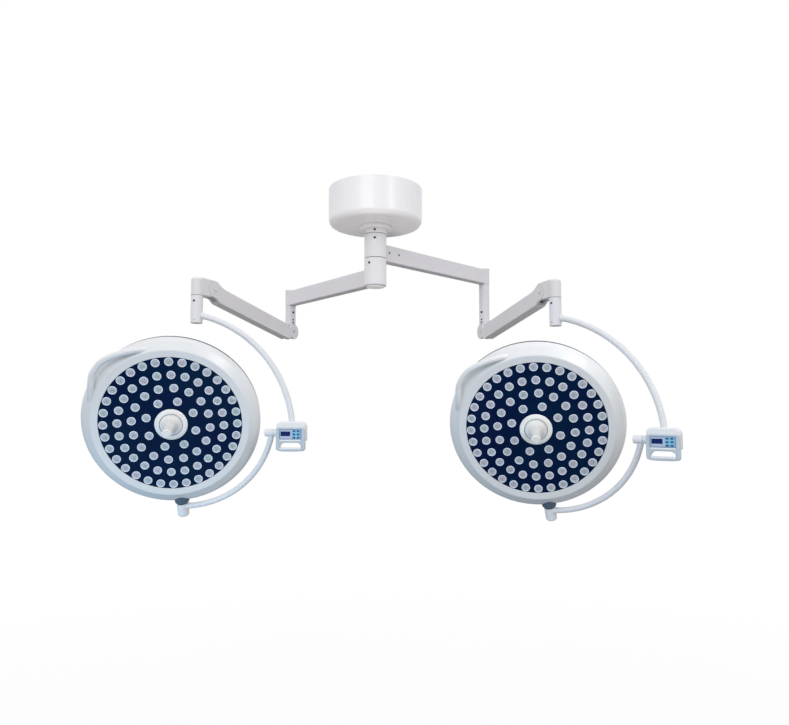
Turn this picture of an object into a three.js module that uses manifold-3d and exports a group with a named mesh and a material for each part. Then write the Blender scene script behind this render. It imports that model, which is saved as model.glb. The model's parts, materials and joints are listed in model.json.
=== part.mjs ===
// Ceiling-mounted double-head LED surgical light.
//
// Units are millimetres, +Z is up. The origin is the centre of the ceiling plate's top face, on the
// vertical hub axis. Two independent light units hang from one hub, each a chain of
//   extension arm -> drop tube -> parallelogram spring arm -> knuckle -> upper yoke with control box
//   -> lower yoke -> lamp head -> sterile handle.
import * as THREE from 'three';
import { mergeVertices } from 'three/addons/utils/BufferGeometryUtils.js';
import Module from 'manifold-3d';

const wasm = await Module();
wasm.setup();

// ---------------------------------------------------------------- driving dimensions (mm)

const GAP = 0.3;                  // clearance between pieces that rest on each other

// ceiling plate, cover and hub
const PLATE_RADIUS = 150;
const PLATE_THICKNESS = 12;
const CABLE_HOLE_RADIUS = 18;
const CABLE_HOLE_X = 62;
const COVER_RADIUS = 203;
const COVER_HEIGHT = 162;
const COVER_WALL = 3;
const COVER_HOLE_RADIUS = 56;
const COLLAR_RADIUS = 72;
const COLLAR_HEIGHT = 12;
const SPINDLE_RADIUS = 30;
const SPINDLE_BORE = 18;
const FLANGE_RADIUS = 90;
const SLEEVE_RADIUS = 48;
const SLEEVE_BORE = 31;
const SEAM_1_Z = -197;            // between the fixed sleeve and the upper arm's sleeve
const SEAM_2_Z = -303;            // between the two arms' sleeves
const HUB_BOTTOM_Z = -424;

// extension arms
const ARM_WIDTH = 44;
const ARM_HEIGHT = 75;
const ARM_CORNER = 6;
const ARM_WALL = 4;
const HOUSING_RADIUS = 27;
const HOUSING_CAP = 5.5;          // the end housing stands this far above the arm
const SPIGOT_RADIUS = 14.7;
const SPIGOT_BORE = 15.5;
const SPIGOT_LENGTH = 62;

// drop tubes and the spring arm's lower pivot
const TUBE_RADIUS = 26;
const TUBE_BORE = 9;
const PIVOT_Z = -555;
const TONGUE_WIDTH = 25;
const BOSS_RADIUS = 12.5;
const PIN_RADIUS = 6;
const PIN_HOLE = 6.8;

// spring arms
const SPRING_ARM_LENGTH = 605;    // between the two pivots
const EAR_RADIUS = 38;
const CASING_WIDTH = 50;
const CASING_TOP = 21;            // above the line through the pivots
const CASING_BOTTOM = -49;
const CASING_WALL = 4;
const FORK_SLOT = 27;
const FORK_DEPTH = 52;            // the fork slots reach this far past each pivot
const LINK_DROP = 24;             // the link rod's pins are this far below the pivots
const LINK_PIN_RADIUS = 4;
const LINK_ROD_RADIUS = 4;
const LINK_Y = 5.5;
const SPRING_RADIUS = 9;
const SPRING_WIRE = 2;
const SPRING_TURNS = 5;

// knuckle and yaw bearing
const YAW_OFFSET = 85;            // from the upper pivot to the vertical yaw axis
const KNUCKLE_TOP = 39;
const KNUCKLE_BOTTOM = -38;
const YAW_RADIUS = 25;
const YAW_BOTTOM = -158;
const YAW_SPIGOT = 12;

// yokes and the gimbal point, where the roll axis crosses the swivel axis
const GIMBAL_DROP = 618;          // below the upper pivot
const GIMBAL_OFFSET = 86;         // from the yaw axis, away from the control box
const UPPER_YOKE_RADIUS = 521;
const UPPER_YOKE_CENTRE = [-100, -632];   // from the yaw axis and the upper pivot
const UPPER_TUBE_RADIUS = 12.5;
const LOWER_YOKE_RADIUS = 441;
const LOWER_YOKE_CENTRE = [-10, 102];     // from the gimbal point
const LOWER_TUBE_RADIUS = 12;
const ROLL_SLEEVE_START = 390;    // along the roll axis, from the gimbal point
const ROLL_SLEEVE_END = 427;
const ROLL_SLEEVE_RADIUS = 16;
const ROLL_BOSS_START = 428;      // the box's own boss, just outside the sleeve
const ROLL_SHAFT_RADIUS = 8;
const CUP_RADIUS = 23.5;
const CUP_TOP = -325;
const CUP_BOTTOM = -383;
const STEM_RADIUS = 10;

// control box
const BOX_CENTRE_X = 417;         // from the yaw axis
const BOX_WIDTH = 124;
const BOX_HEIGHT = 124;
const BOX_DEPTH = 55;
const BOX_BELOW_ROLL = 15;        // the box's centre is this far below the roll axis
const GRIP_WIDTH = 87;
const GRIP_HEIGHT = 20;
const GRIP_Z = -35.8;
const GRIP_FRAME_DEPTH = 20;      // the box is this thin around the grip
const GRIP_FRAME_TOP = -20;
const PANEL_WIDTH = 92;
const PANEL_HEIGHT = 42;
const PANEL_Z = 9;
const PANEL_THICKNESS = 2.2;
const PANEL_RECESS = 5;
const SCREEN_WIDTH = 40;
const SCREEN_HEIGHT = 19;
const SCREEN_X = -20.5;
const SCREEN_Z = 2;
const KEY_WIDTH = 10.5;
const KEY_HEIGHT = 6;
const KEY_THICKNESS = 2.8;
const KEY_COLUMNS = [15.5, 32.5];
const KEY_ROWS = [12.3, -0.4, -13.1];

// lamp head; y is the depth from the head centre, with the front at negative y
const HEAD_RISE = 51;             // the head centre is this far above the gimbal point
const HEAD_RADIUS = 360;
const LIP_RADIUS = 315;
const DISC_RADIUS = 285;
const LIP_Y = -47;
const DISC_Y = -44;
const DISC_THICKNESS = 6;
const SEAM_Y = 2;
const RIM_BAND_Y = 24;            // the rim's straight band ends here
const SHELL_Y = 55;
const SHELL_WALL = 3;
const HANDLE_BASE_RADIUS = 66;
const HANDLE_BASE_Y = -54;
const HANDLE_ROOT_RADIUS = 40;
const HANDLE_TIP_RADIUS = 16.5;
const HANDLE_TIP_Y = -164;
const SOCKET_RADIUS = 14;
const SOCKET_Y = -92;
const SWIVEL_COLLAR_RADIUS = 31;
const SIDE_HANDLE_RADIUS = 13;

// circle subdivisions
const HEAD_SIDES = 26;
const HUB_SIDES = 24;
const TUBE_SIDES = 14;
const YOKE_SIDES = 8;
const YOKE_STEPS = 9;
const PIN_SIDES = 8;

// the two light units: lengths, levels and the rest pose, in degrees
const UNITS = [
  {
    side: 'left',
    armLength: 722,
    armZ: -383,
    sleeveTop: SEAM_2_Z - GAP,
    sleeveBottom: HUB_BOTTOM_Z,
    armHeading: 129,
    springHeading: -116.6,
    springPitch: 11.7,
    yokeHeading: -4.8,
    roll: 18.8,
    swivel: 14.2,
  },
  {
    side: 'right',
    armLength: 775,
    armZ: -273,
    sleeveTop: SEAM_1_Z - GAP,
    sleeveBottom: SEAM_2_Z + GAP,
    armHeading: 45.2,
    springHeading: -72.3,
    springPitch: 9.9,
    yokeHeading: -35.1,
    roll: 20.9,
    swivel: 21.7,
  },
];

// ---------------------------------------------------------------- materials

const finish = (color, roughness, metalness = 0) => new THREE.MeshStandardMaterial({ color, roughness, metalness });
const coverWhite = finish(0xf4f4f5, 0.25);
const hubWhite = finish(0xe8e8ec, 0.4);
const armGrey = finish(0xd6d4da, 0.45);
const yokeWhite = finish(0xe3e6ec, 0.4);
const headWhite = finish(0xeef0f2, 0.35);
const boxBlue = finish(0xc4d3e3, 0.4);
const panelBlue = finish(0x9dc3e6, 0.35);
const keyBlue = finish(0x2f6f9f, 0.4);
const discNavy = finish(0x0b1c4c, 0.3);
const slate = finish(0x55677a, 0.6);
const handleWhite = finish(0xf5f5f3, 0.3);
const steel = finish(0xb4b7bb, 0.35, 1);

// ---------------------------------------------------------------- geometry helpers

const degrees = THREE.MathUtils.degToRad;

// one closed body: shared vertices merged, collapsed faces dropped, faces pointing out
function weld(geometry) {
  const bare = geometry.clone();
  bare.deleteAttribute('normal');
  bare.deleteAttribute('uv');
  const merged = mergeVertices(bare, 1e-3);
  const corners = merged.index.array;
  const kept = [];
  for (let i = 0; i < corners.length; i += 3) {
    const [a, b, c] = corners.slice(i, i + 3);
    if (a !== b && b !== c && c !== a) kept.push(a, b, c);
  }
  if (signedVolume(merged.attributes.position, kept) < 0) kept.reverse();
  merged.setIndex(kept);
  return merged;
}

function signedVolume(position, index) {
  const [a, b, c] = [new THREE.Vector3(), new THREE.Vector3(), new THREE.Vector3()];
  let total = 0;
  for (let i = 0; i < index.length; i += 3) {
    a.fromBufferAttribute(position, index[i]);
    b.fromBufferAttribute(position, index[i + 1]);
    c.fromBufferAttribute(position, index[i + 2]);
    total += a.dot(b.cross(c)) / 6;
  }
  return total;
}

function toSolid(geometry) {
  const closed = weld(geometry);
  const vertProperties = new Float32Array(closed.attributes.position.array);
  const triVerts = new Uint32Array(closed.index.array);
  return new wasm.Manifold(new wasm.Mesh({ numProp: 3, vertProperties, triVerts }));
}

function toGeometry(solid) {
  const mesh = solid.getMesh();
  const geometry = new THREE.BufferGeometry();
  geometry.setAttribute('position', new THREE.BufferAttribute(mesh.vertProperties, 3));
  geometry.setIndex(new THREE.BufferAttribute(mesh.triVerts, 1));
  return geometry;
}

function join(...geometries) {
  return toGeometry(geometries.map(toSolid).reduce((sum, next) => sum.add(next)));
}

function cut(geometry, ...tools) {
  return toGeometry(tools.map(toSolid).reduce((rest, tool) => rest.subtract(tool), toSolid(geometry)));
}

const points2 = (pairs) => pairs.map(([x, y]) => new THREE.Vector2(x, y));
const shapeOf = (pairs) => new THREE.Shape(points2(pairs));

// a solid of revolution about Y; the profile's pairs are (radius, y)
function turnedY(profile, sides) {
  return new THREE.LatheGeometry(points2(profile), sides);
}

// the same about Z; the profile's pairs are (radius, z)
function turnedZ(profile, sides) {
  return turnedY(profile, sides).rotateX(Math.PI / 2);
}

function cylinderZ(radius, z0, z1, sides = TUBE_SIDES) {
  return new THREE.CylinderGeometry(radius, radius, Math.abs(z1 - z0), sides)
    .rotateX(Math.PI / 2)
    .translate(0, 0, (z0 + z1) / 2);
}

function cylinderX(radius, x0, x1, sides = TUBE_SIDES) {
  return new THREE.CylinderGeometry(radius, radius, Math.abs(x1 - x0), sides)
    .rotateZ(Math.PI / 2)
    .translate((x0 + x1) / 2, 0, 0);
}

function cylinderY(radius, y0, y1, sides = TUBE_SIDES) {
  return new THREE.CylinderGeometry(radius, radius, Math.abs(y1 - y0), sides).translate(0, (y0 + y1) / 2, 0);
}

function block(x0, x1, y0, y1, z0, z1) {
  return new THREE.BoxGeometry(x1 - x0, y1 - y0, z1 - z0)
    .translate((x0 + x1) / 2, (y0 + y1) / 2, (z0 + z1) / 2);
}

// an outline of (x, z) pairs, drawn in the side view and given a thickness from y0 to y1
function plate(outline, y0, y1, bevel = 0) {
  const shape = outline instanceof THREE.Shape ? outline : shapeOf(outline);
  const depth = y1 - y0 - 2 * bevel;
  const options = {
    depth,
    curveSegments: 2,
    bevelEnabled: bevel > 0,
    bevelThickness: bevel,
    bevelSize: bevel,
    bevelOffset: -bevel,
    bevelSegments: 1,
  };
  return new THREE.ExtrudeGeometry(shape, options)
    .translate(0, 0, bevel)
    .rotateX(Math.PI / 2)
    .translate(0, y1, 0);
}

// a rectangle with rounded corners, centred on the origin; top and bottom corners may differ
function roundedRectangle(width, height, bottomRadius, topRadius = bottomRadius) {
  const x = width / 2;
  const y = height / 2;
  const shape = new THREE.Shape();
  shape.absarc(x - bottomRadius, bottomRadius - y, bottomRadius, -Math.PI / 2, 0);
  shape.absarc(x - topRadius, y - topRadius, topRadius, 0, Math.PI / 2);
  shape.absarc(topRadius - x, y - topRadius, topRadius, Math.PI / 2, Math.PI);
  shape.absarc(bottomRadius - x, bottomRadius - y, bottomRadius, Math.PI, 1.5 * Math.PI);
  return shape;
}

// a bar of rounded rectangular section along X
function bar(width, height, corner, x0, x1) {
  const options = { depth: x1 - x0, curveSegments: 2, bevelEnabled: false };
  return new THREE.ExtrudeGeometry(roundedRectangle(width, height, corner), options)
    .rotateX(Math.PI / 2)
    .rotateZ(Math.PI / 2)
    .translate(x0, 0, 0);
}

// an arc in the XZ plane, angles in degrees anticlockwise from +X seen with +Z up
class SideArc extends THREE.Curve {
  constructor(x, z, radius, start, end) {
    super();
    Object.assign(this, { x, z, radius, start, end });
  }

  getPoint(t, target = new THREE.Vector3()) {
    const angle = degrees(THREE.MathUtils.lerp(this.start, this.end, t));
    return target.set(this.x + this.radius * Math.cos(angle), 0, this.z + this.radius * Math.sin(angle));
  }
}

// a round tube along a curve, with closed ends
function sweep(curve, radius, steps = YOKE_STEPS, sides = YOKE_SIDES) {
  const ring = [];
  for (let i = 0; i < sides; i += 1) {
    const angle = (2 * Math.PI * i) / sides;
    ring.push(new THREE.Vector2(radius * Math.cos(angle), radius * Math.sin(angle)));
  }
  return new THREE.ExtrudeGeometry(new THREE.Shape(ring), { steps, extrudePath: curve, bevelEnabled: false });
}

function piece(name, geometry, material) {
  const mesh = new THREE.Mesh(weld(geometry), material);
  mesh.name = name;
  return mesh;
}

function groupAt(x, y, z, ...children) {
  const group = new THREE.Group();
  group.position.set(x, y, z);
  if (children.length) group.add(...children);
  return group;
}

// ---------------------------------------------------------------- ceiling mount and hub

function ceilingPlate() {
  const disc = cylinderZ(PLATE_RADIUS, -PLATE_THICKNESS, 0, HUB_SIDES);
  const cableHole = cylinderZ(CABLE_HOLE_RADIUS, -20, 10).translate(CABLE_HOLE_X, 0, 0);
  return piece('ceiling_plate', cut(disc, cableHole), steel);
}

function ceilingCover() {
  const inner = COVER_RADIUS - COVER_WALL;
  const bottom = -COVER_HEIGHT;
  const profile = [
    [inner, 0],
    [COVER_RADIUS - 2, 0],
    [COVER_RADIUS, -4],
    [COVER_RADIUS, bottom + 26],
    [COVER_RADIUS - 8, bottom + 8],
    [COVER_RADIUS - 27, bottom],
    [COVER_HOLE_RADIUS, bottom],
    [COVER_HOLE_RADIUS, bottom + COVER_WALL],
    [COVER_RADIUS - 28, bottom + COVER_WALL],
    [inner, bottom + 28],
    [inner, 0],
  ];
  return piece('ceiling_cover', turnedZ(profile, HUB_SIDES), coverWhite);
}

function coverCollar() {
  const top = -COVER_HEIGHT - GAP;
  const profile = [
    [SLEEVE_BORE, top],
    [COLLAR_RADIUS, top],
    [COLLAR_RADIUS - 2, top - 7],
    [COLLAR_RADIUS - 14, top - COLLAR_HEIGHT],
    [SLEEVE_BORE, top - COLLAR_HEIGHT],
    [SLEEVE_BORE, top],
  ];
  return piece('cover_collar', turnedZ(profile, HUB_SIDES), coverWhite);
}

function hubSpindle() {
  const flangeTop = -PLATE_THICKNESS - GAP;
  const profile = [
    [SPINDLE_BORE, flangeTop],
    [FLANGE_RADIUS, flangeTop],
    [FLANGE_RADIUS, flangeTop - 12],
    [SPINDLE_RADIUS, flangeTop - 12],
    [SPINDLE_RADIUS, HUB_BOTTOM_Z],
    [SPINDLE_BORE, HUB_BOTTOM_Z],
    [SPINDLE_BORE, flangeTop],
  ];
  return piece('hub_spindle', turnedZ(profile, TUBE_SIDES), steel);
}

function hubTopSleeve() {
  const top = -COVER_HEIGHT - COLLAR_HEIGHT - 2 * GAP;
  const profile = [
    [SLEEVE_BORE, top],
    [SLEEVE_RADIUS, top],
    [SLEEVE_RADIUS, SEAM_1_Z + GAP],
    [SLEEVE_BORE, SEAM_1_Z + GAP],
    [SLEEVE_BORE, top],
  ];
  return piece('hub_top_sleeve', turnedZ(profile, HUB_SIDES), hubWhite);
}

function hubBottomCap() {
  const top = HUB_BOTTOM_Z - GAP;
  const profile = [
    [0, top],
    [SLEEVE_RADIUS - 5, top],
    [SLEEVE_RADIUS - 8, top - 4],
    [0, top - 4],
  ];
  return piece('hub_bottom_cap', turnedZ(profile, TUBE_SIDES), hubWhite);
}

// ---------------------------------------------------------------- extension arm and drop tube

// the arm lies along +X from the hub axis, at its true height
function extensionArm(unit) {
  const { armLength, armZ, sleeveTop, sleeveBottom } = unit;
  const half = ARM_HEIGHT / 2;
  const beam = bar(ARM_WIDTH, ARM_HEIGHT, ARM_CORNER, SLEEVE_BORE + 6, armLength).translate(0, 0, armZ);
  const chamfer = unit.side === 'left' ? 6 : 0.01;
  const sleeve = turnedZ([
    [0, sleeveTop],
    [SLEEVE_RADIUS, sleeveTop],
    [SLEEVE_RADIUS, sleeveBottom + chamfer],
    [SLEEVE_RADIUS - chamfer, sleeveBottom],
    [0, sleeveBottom],
  ], HUB_SIDES);
  const housingTop = armZ + half + HOUSING_CAP;
  const housing = cylinderZ(HOUSING_RADIUS, armZ - half, housingTop).translate(armLength, 0, 0);
  const cavity = block(
    SLEEVE_RADIUS + 14,
    armLength - HOUSING_RADIUS - 12,
    ARM_WALL - ARM_WIDTH / 2,
    ARM_WIDTH / 2 - ARM_WALL,
    armZ - half + ARM_WALL,
    armZ + half - ARM_WALL,
  );
  const hubBore = cylinderZ(SLEEVE_BORE, sleeveBottom - 30, sleeveTop + 30, HUB_SIDES);
  const neighbour = cylinderZ(SLEEVE_RADIUS + 1, SEAM_2_Z - 40, SEAM_2_Z + GAP, HUB_SIDES);
  const boreTop = armZ - half + SPIGOT_LENGTH + 4;
  const spigotBore = cylinderZ(SPIGOT_BORE, armZ - half - 10, boreTop).translate(armLength, 0, 0);
  const hubCableWay = cylinderX(8, SLEEVE_BORE - 5, SLEEVE_RADIUS + 20, PIN_SIDES).translate(0, 0, armZ);
  const endCableWay = cylinderX(6, armLength - HOUSING_RADIUS - 20, armLength, PIN_SIDES).translate(0, 0, armZ);
  const tools = [cavity, hubBore, spigotBore, hubCableWay, endCableWay];
  if (unit.side === 'right') tools.push(neighbour);
  return piece(`${unit.side}_extension_arm`, cut(join(beam, sleeve, housing), ...tools), armGrey);
}

// on the drop axis at true height; +X points along the spring arm
function dropTube(unit) {
  const shoulder = unit.armZ - ARM_HEIGHT / 2 - 2 * GAP;
  const spigotTop = shoulder + SPIGOT_LENGTH;
  const tube = turnedZ([
    [0, spigotTop],
    [SPIGOT_RADIUS, spigotTop],
    [SPIGOT_RADIUS, shoulder],
    [TUBE_RADIUS, shoulder],
    [TUBE_RADIUS, PIVOT_Z],
    [0, PIVOT_Z],
  ], TUBE_SIDES);
  const saddle = cylinderY(EAR_RADIUS + 1.5, -40, 40, HUB_SIDES).translate(0, 0, PIVOT_Z);
  const bore = cylinderZ(TUBE_BORE, PIVOT_Z + 70, spigotTop + 10, PIN_SIDES);
  const upperPart = cut(tube, saddle, bore);
  return piece(`${unit.side}_drop_tube`, cut(
    join(upperPart, tongue(45).translate(0, 0, PIVOT_Z)),
    cylinderY(PIN_HOLE, -30, 30, PIN_SIDES).translate(0, 0, PIVOT_Z),
  ), armGrey);
}

// the flat lug that carries a pivot boss and, below it, the link rod's pin; it rises to the given height
function tongue(height) {
  const half = TONGUE_WIDTH / 2;
  const lug = plate([[-15, height], [-15, 8], [-9, -30], [9, -30], [15, 8], [15, height]], -half, 0);
  const boss = cylinderY(BOSS_RADIUS, -half, half);
  const linkPin = cylinderY(LINK_PIN_RADIUS, -5, LINK_Y + 5, PIN_SIDES).translate(0, 0, -LINK_DROP);
  return join(lug, boss, linkPin);
}

// ---------------------------------------------------------------- spring arm

// along +X, with the lower pivot at the origin and the upper one SPRING_ARM_LENGTH away
function springArmCasing(unit) {
  const end = SPRING_ARM_LENGTH;
  const half = CASING_WIDTH / 2;
  const slot = FORK_SLOT / 2;
  const outline = [
    [18, -34],
    [33, CASING_BOTTOM],
    [end - 46, CASING_BOTTOM],
    [end - 14, -35],
    [end - 20, 32],
    [end - 46, 24],
    [end - 72, CASING_TOP],
    [52, CASING_TOP],
    [37, 4],
  ];
  const ears = [0, end].map((x) => cylinderY(EAR_RADIUS, -half, half).translate(x, 0, 0));
  const cavity = block(
    FORK_DEPTH - 4,
    end - FORK_DEPTH + 4,
    CASING_WALL - half,
    half - CASING_WALL,
    CASING_BOTTOM + CASING_WALL,
    CASING_TOP - CASING_WALL,
  );
  const slots = [
    block(-60, FORK_DEPTH, -slot, slot, -80, 80),
    block(end - FORK_DEPTH, end + 60, -slot, slot, -80, 80),
  ];
  const holes = [0, end].map((x) => cylinderY(PIN_HOLE, -half - 5, half + 5, PIN_SIDES).translate(x, 0, 0));
  const body = join(plate(outline, -half, half), ...ears);
  return piece(`${unit.side}_spring_arm_casing`, cut(body, cavity, ...slots, ...holes), armGrey);
}

class SpringCoil extends THREE.Curve {
  getPoint(t, target = new THREE.Vector3()) {
    const angle = 2 * Math.PI * SPRING_TURNS * t;
    const x = THREE.MathUtils.lerp(130, SPRING_ARM_LENGTH - 130, t);
    return target.set(x, SPRING_RADIUS * Math.cos(angle), 3 + SPRING_RADIUS * Math.sin(angle));
  }
}

function balanceSpring(unit) {
  const coil = sweep(new SpringCoil(), SPRING_WIRE, SPRING_TURNS * 6, 4);
  return piece(`${unit.side}_balance_spring`, coil, steel);
}

function pivotPin(unit, name) {
  const half = CASING_WIDTH / 2;
  return piece(`${unit.side}_${name}`, cylinderY(PIN_RADIUS, -half, half, PIN_SIDES), steel);
}

function linkRod(unit) {
  const eyes = [0, SPRING_ARM_LENGTH].map((x) => cylinderY(8, LINK_Y - 4, LINK_Y + 4, PIN_SIDES).translate(x, 0, 0));
  const rod = cylinderX(LINK_ROD_RADIUS, 5, SPRING_ARM_LENGTH - 5, 8).translate(0, LINK_Y, 0);
  const holes = [0, SPRING_ARM_LENGTH].map(
    (x) => cylinderY(LINK_PIN_RADIUS + 1, -5, 20, PIN_SIDES).translate(x, 0, 0),
  );
  return piece(`${unit.side}_link_rod`, cut(join(...eyes, rod), ...holes), steel);
}

// ---------------------------------------------------------------- knuckle and upper yoke

// the upper pivot is the origin, +X points away from the spring arm, and the knuckle stays level
function knuckle(unit) {
  const round = turnedZ([
    [0, KNUCKLE_TOP],
    [9, KNUCKLE_TOP],
    [20, KNUCKLE_TOP - 7],
    [YAW_RADIUS, KNUCKLE_TOP - 19],
    [YAW_RADIUS, KNUCKLE_BOTTOM],
    [0, KNUCKLE_BOTTOM],
  ], TUBE_SIDES).translate(YAW_OFFSET, 0, 0);
  const web = plate([
    [8, KNUCKLE_TOP],
    [8, -22],
    [24, KNUCKLE_BOTTOM],
    [YAW_OFFSET, KNUCKLE_BOTTOM],
    [YAW_OFFSET, KNUCKLE_TOP],
  ], 1 - YAW_RADIUS, YAW_RADIUS - 1);
  const earClearance = cylinderY(EAR_RADIUS + 1.5, -40, 40, HUB_SIDES);
  const neck = block(0, 46, -TONGUE_WIDTH / 2, TONGUE_WIDTH / 2, -11, 11);
  const body = join(cut(join(round, web), earClearance), neck, tongue(9));
  const bore = cylinderZ(YAW_SPIGOT + 0.8, KNUCKLE_BOTTOM - 10, -4).translate(YAW_OFFSET, 0, 0);
  return piece(`${unit.side}_knuckle`, cut(body, bore, cylinderY(PIN_HOLE, -30, 30, PIN_SIDES)), armGrey);
}

// on the yaw axis, with the upper pivot's height as zero
function yawBearing(unit) {
  const top = KNUCKLE_BOTTOM - 2 * GAP;
  const profile = [
    [0, -8],
    [YAW_SPIGOT, -8],
    [YAW_SPIGOT, top],
    [YAW_RADIUS, top],
    [YAW_RADIUS, YAW_BOTTOM + 4],
    [YAW_RADIUS - 4, YAW_BOTTOM],
    [0, YAW_BOTTOM],
  ];
  return piece(`${unit.side}_yaw_bearing`, turnedZ(profile, TUBE_SIDES), armGrey);
}

// one long arc out of the yaw bearing, then straight down into the control box
function upperYoke(unit) {
  const boxTop = BOX_HEIGHT / 2 - BOX_BELOW_ROLL - GIMBAL_DROP;
  const arc = new SideArc(...UPPER_YOKE_CENTRE, UPPER_YOKE_RADIUS, 77, 7.4);
  const tail = cylinderZ(UPPER_TUBE_RADIUS, boxTop - 6, boxTop + 8, YOKE_SIDES).translate(BOX_CENTRE_X, 0, 0);
  const socket = cylinderZ(YAW_RADIUS + GAP, YAW_BOTTOM - 10, KNUCKLE_BOTTOM);
  return piece(`${unit.side}_upper_yoke`, cut(join(sweep(arc, UPPER_TUBE_RADIUS), tail), socket), yokeWhite);
}

// centred on its own middle; the front faces -Y
function controlBox(unit) {
  const half = BOX_DEPTH / 2;
  const body = plate(roundedRectangle(BOX_WIDTH, BOX_HEIGHT, 15, 24), -half, half, 3);
  const grip = plate(roundedRectangle(GRIP_WIDTH, GRIP_HEIGHT, 5, GRIP_HEIGHT / 2 + 3), -half - 5, half + 5)
    .translate(0, 0, GRIP_Z);
  const recess = block(
    -PANEL_WIDTH / 2,
    PANEL_WIDTH / 2,
    -half - 5,
    PANEL_RECESS - half,
    PANEL_Z - PANEL_HEIGHT / 2,
    PANEL_Z + PANEL_HEIGHT / 2,
  );
  const behindGrip = block(-BOX_WIDTH, BOX_WIDTH, GRIP_FRAME_DEPTH - half, half + 5, -BOX_HEIGHT, GRIP_FRAME_TOP);
  const yokeSocket = cylinderZ(UPPER_TUBE_RADIUS + 0.6, BOX_HEIGHT / 2 - 8, BOX_HEIGHT, TUBE_SIDES);
  const bossStart = ROLL_BOSS_START - GIMBAL_OFFSET - BOX_CENTRE_X;
  const boss = cylinderX(ROLL_SLEEVE_RADIUS, bossStart, 10 - BOX_WIDTH / 2).translate(0, 0, BOX_BELOW_ROLL);
  const shaftSocket = cylinderX(ROLL_SHAFT_RADIUS + 0.8, -BOX_WIDTH, 20 - BOX_WIDTH / 2, PIN_SIDES)
    .translate(0, 0, BOX_BELOW_ROLL);
  const tools = [grip, recess, behindGrip, yokeSocket, shaftSocket];
  return piece(`${unit.side}_control_box`, cut(join(body, boss), ...tools), boxBlue);
}

// in the control box's frame
function controlPanel(unit) {
  const front = GAP - BOX_DEPTH / 2;
  const width = PANEL_WIDTH / 2 - GAP;
  const height = PANEL_HEIGHT / 2 - GAP;
  const sheet = block(-width, width, front, front + PANEL_THICKNESS, -height, height);
  const screen = block(
    SCREEN_X - SCREEN_WIDTH / 2,
    SCREEN_X + SCREEN_WIDTH / 2,
    front - 5,
    front + 0.6,
    SCREEN_Z - SCREEN_HEIGHT / 2,
    SCREEN_Z + SCREEN_HEIGHT / 2,
  );
  const windows = keyPlaces().map(([x, z]) => block(
    x - KEY_WIDTH / 2 - 0.4,
    x + KEY_WIDTH / 2 + 0.4,
    front - 5,
    front + 5,
    z - KEY_HEIGHT / 2 - 0.4,
    z + KEY_HEIGHT / 2 + 0.4,
  ));
  const panel = cut(sheet, screen, ...windows).translate(0, 0, PANEL_Z);
  return piece(`${unit.side}_control_panel`, panel, panelBlue);
}

function keyPlaces() {
  return KEY_ROWS.flatMap((z) => KEY_COLUMNS.map((x) => [x, z]));
}

function keys(unit) {
  const back = KEY_THICKNESS - 1 - BOX_DEPTH / 2;
  return keyPlaces().map(([x, z], index) => {
    const cap = plate(roundedRectangle(KEY_WIDTH, KEY_HEIGHT, 1.2), back - KEY_THICKNESS, back);
    return piece(`${unit.side}_button_${index + 1}`, cap.translate(x, 0, z + PANEL_Z), keyBlue);
  });
}

function rollShaft(unit) {
  const inBox = BOX_CENTRE_X + GIMBAL_OFFSET - BOX_WIDTH / 2 + 15;
  const shaft = cylinderX(ROLL_SHAFT_RADIUS, ROLL_SLEEVE_START + 2, inBox, PIN_SIDES);
  return piece(`${unit.side}_roll_shaft`, shaft, steel);
}

// ---------------------------------------------------------------- lower yoke

// the gimbal point is the origin; +X is the roll axis and -Z the swivel axis
function lowerYoke(unit) {
  const sleeve = cylinderX(ROLL_SLEEVE_RADIUS, ROLL_SLEEVE_START, ROLL_SLEEVE_END);
  const arc = new SideArc(...LOWER_YOKE_CENTRE, LOWER_YOKE_RADIUS, -14.5, -86.9);
  const cup = turnedZ([
    [0, CUP_TOP],
    [CUP_RADIUS, CUP_TOP],
    [CUP_RADIUS, CUP_BOTTOM + 6],
    [CUP_RADIUS - 6, CUP_BOTTOM],
    [0, CUP_BOTTOM],
  ], TUBE_SIDES);
  const shaftBore = cylinderX(ROLL_SHAFT_RADIUS + 0.9, ROLL_SLEEVE_START - 20, ROLL_SLEEVE_END + 20, PIN_SIDES);
  const stemBore = cylinderZ(STEM_RADIUS + 0.6, CUP_BOTTOM + 16, CUP_TOP + 20);
  const flushEnd = block(ROLL_SLEEVE_END, ROLL_SLEEVE_END + 20, -30, 30, -30, 30);
  const body = cut(join(sleeve, sweep(arc, LOWER_TUBE_RADIUS), cup), shaftBore, stemBore, flushEnd);
  return piece(`${unit.side}_lower_yoke`, body, yokeWhite);
}

// ---------------------------------------------------------------- lamp head
// the head centre is the origin, the front faces -Y and the swivel axis is Z

function frontBezel(unit) {
  const lip = DISC_RADIUS + 2 * GAP;
  const profile = [
    [lip, DISC_Y + 3],
    [lip, LIP_Y],
    [LIP_RADIUS, LIP_Y],
    [346, -22],
    [HEAD_RADIUS, SEAM_Y - GAP],
    [HEAD_RADIUS - 4, SEAM_Y - GAP],
    [342, -19],
    [LIP_RADIUS - 2, LIP_Y + 4],
    [lip + 4, LIP_Y + 4],
    [lip, DISC_Y + 3],
  ];
  return piece(`${unit.side}_front_bezel`, turnedY(profile, HEAD_SIDES), headWhite);
}

const SHELL_PROFILE = [
  [HEAD_RADIUS, SEAM_Y + GAP],
  [HEAD_RADIUS, RIM_BAND_Y],
  [HEAD_RADIUS - 9, RIM_BAND_Y + 7],
  [290, 43],
  [150, 52],
  [0, SHELL_Y],
];

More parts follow.
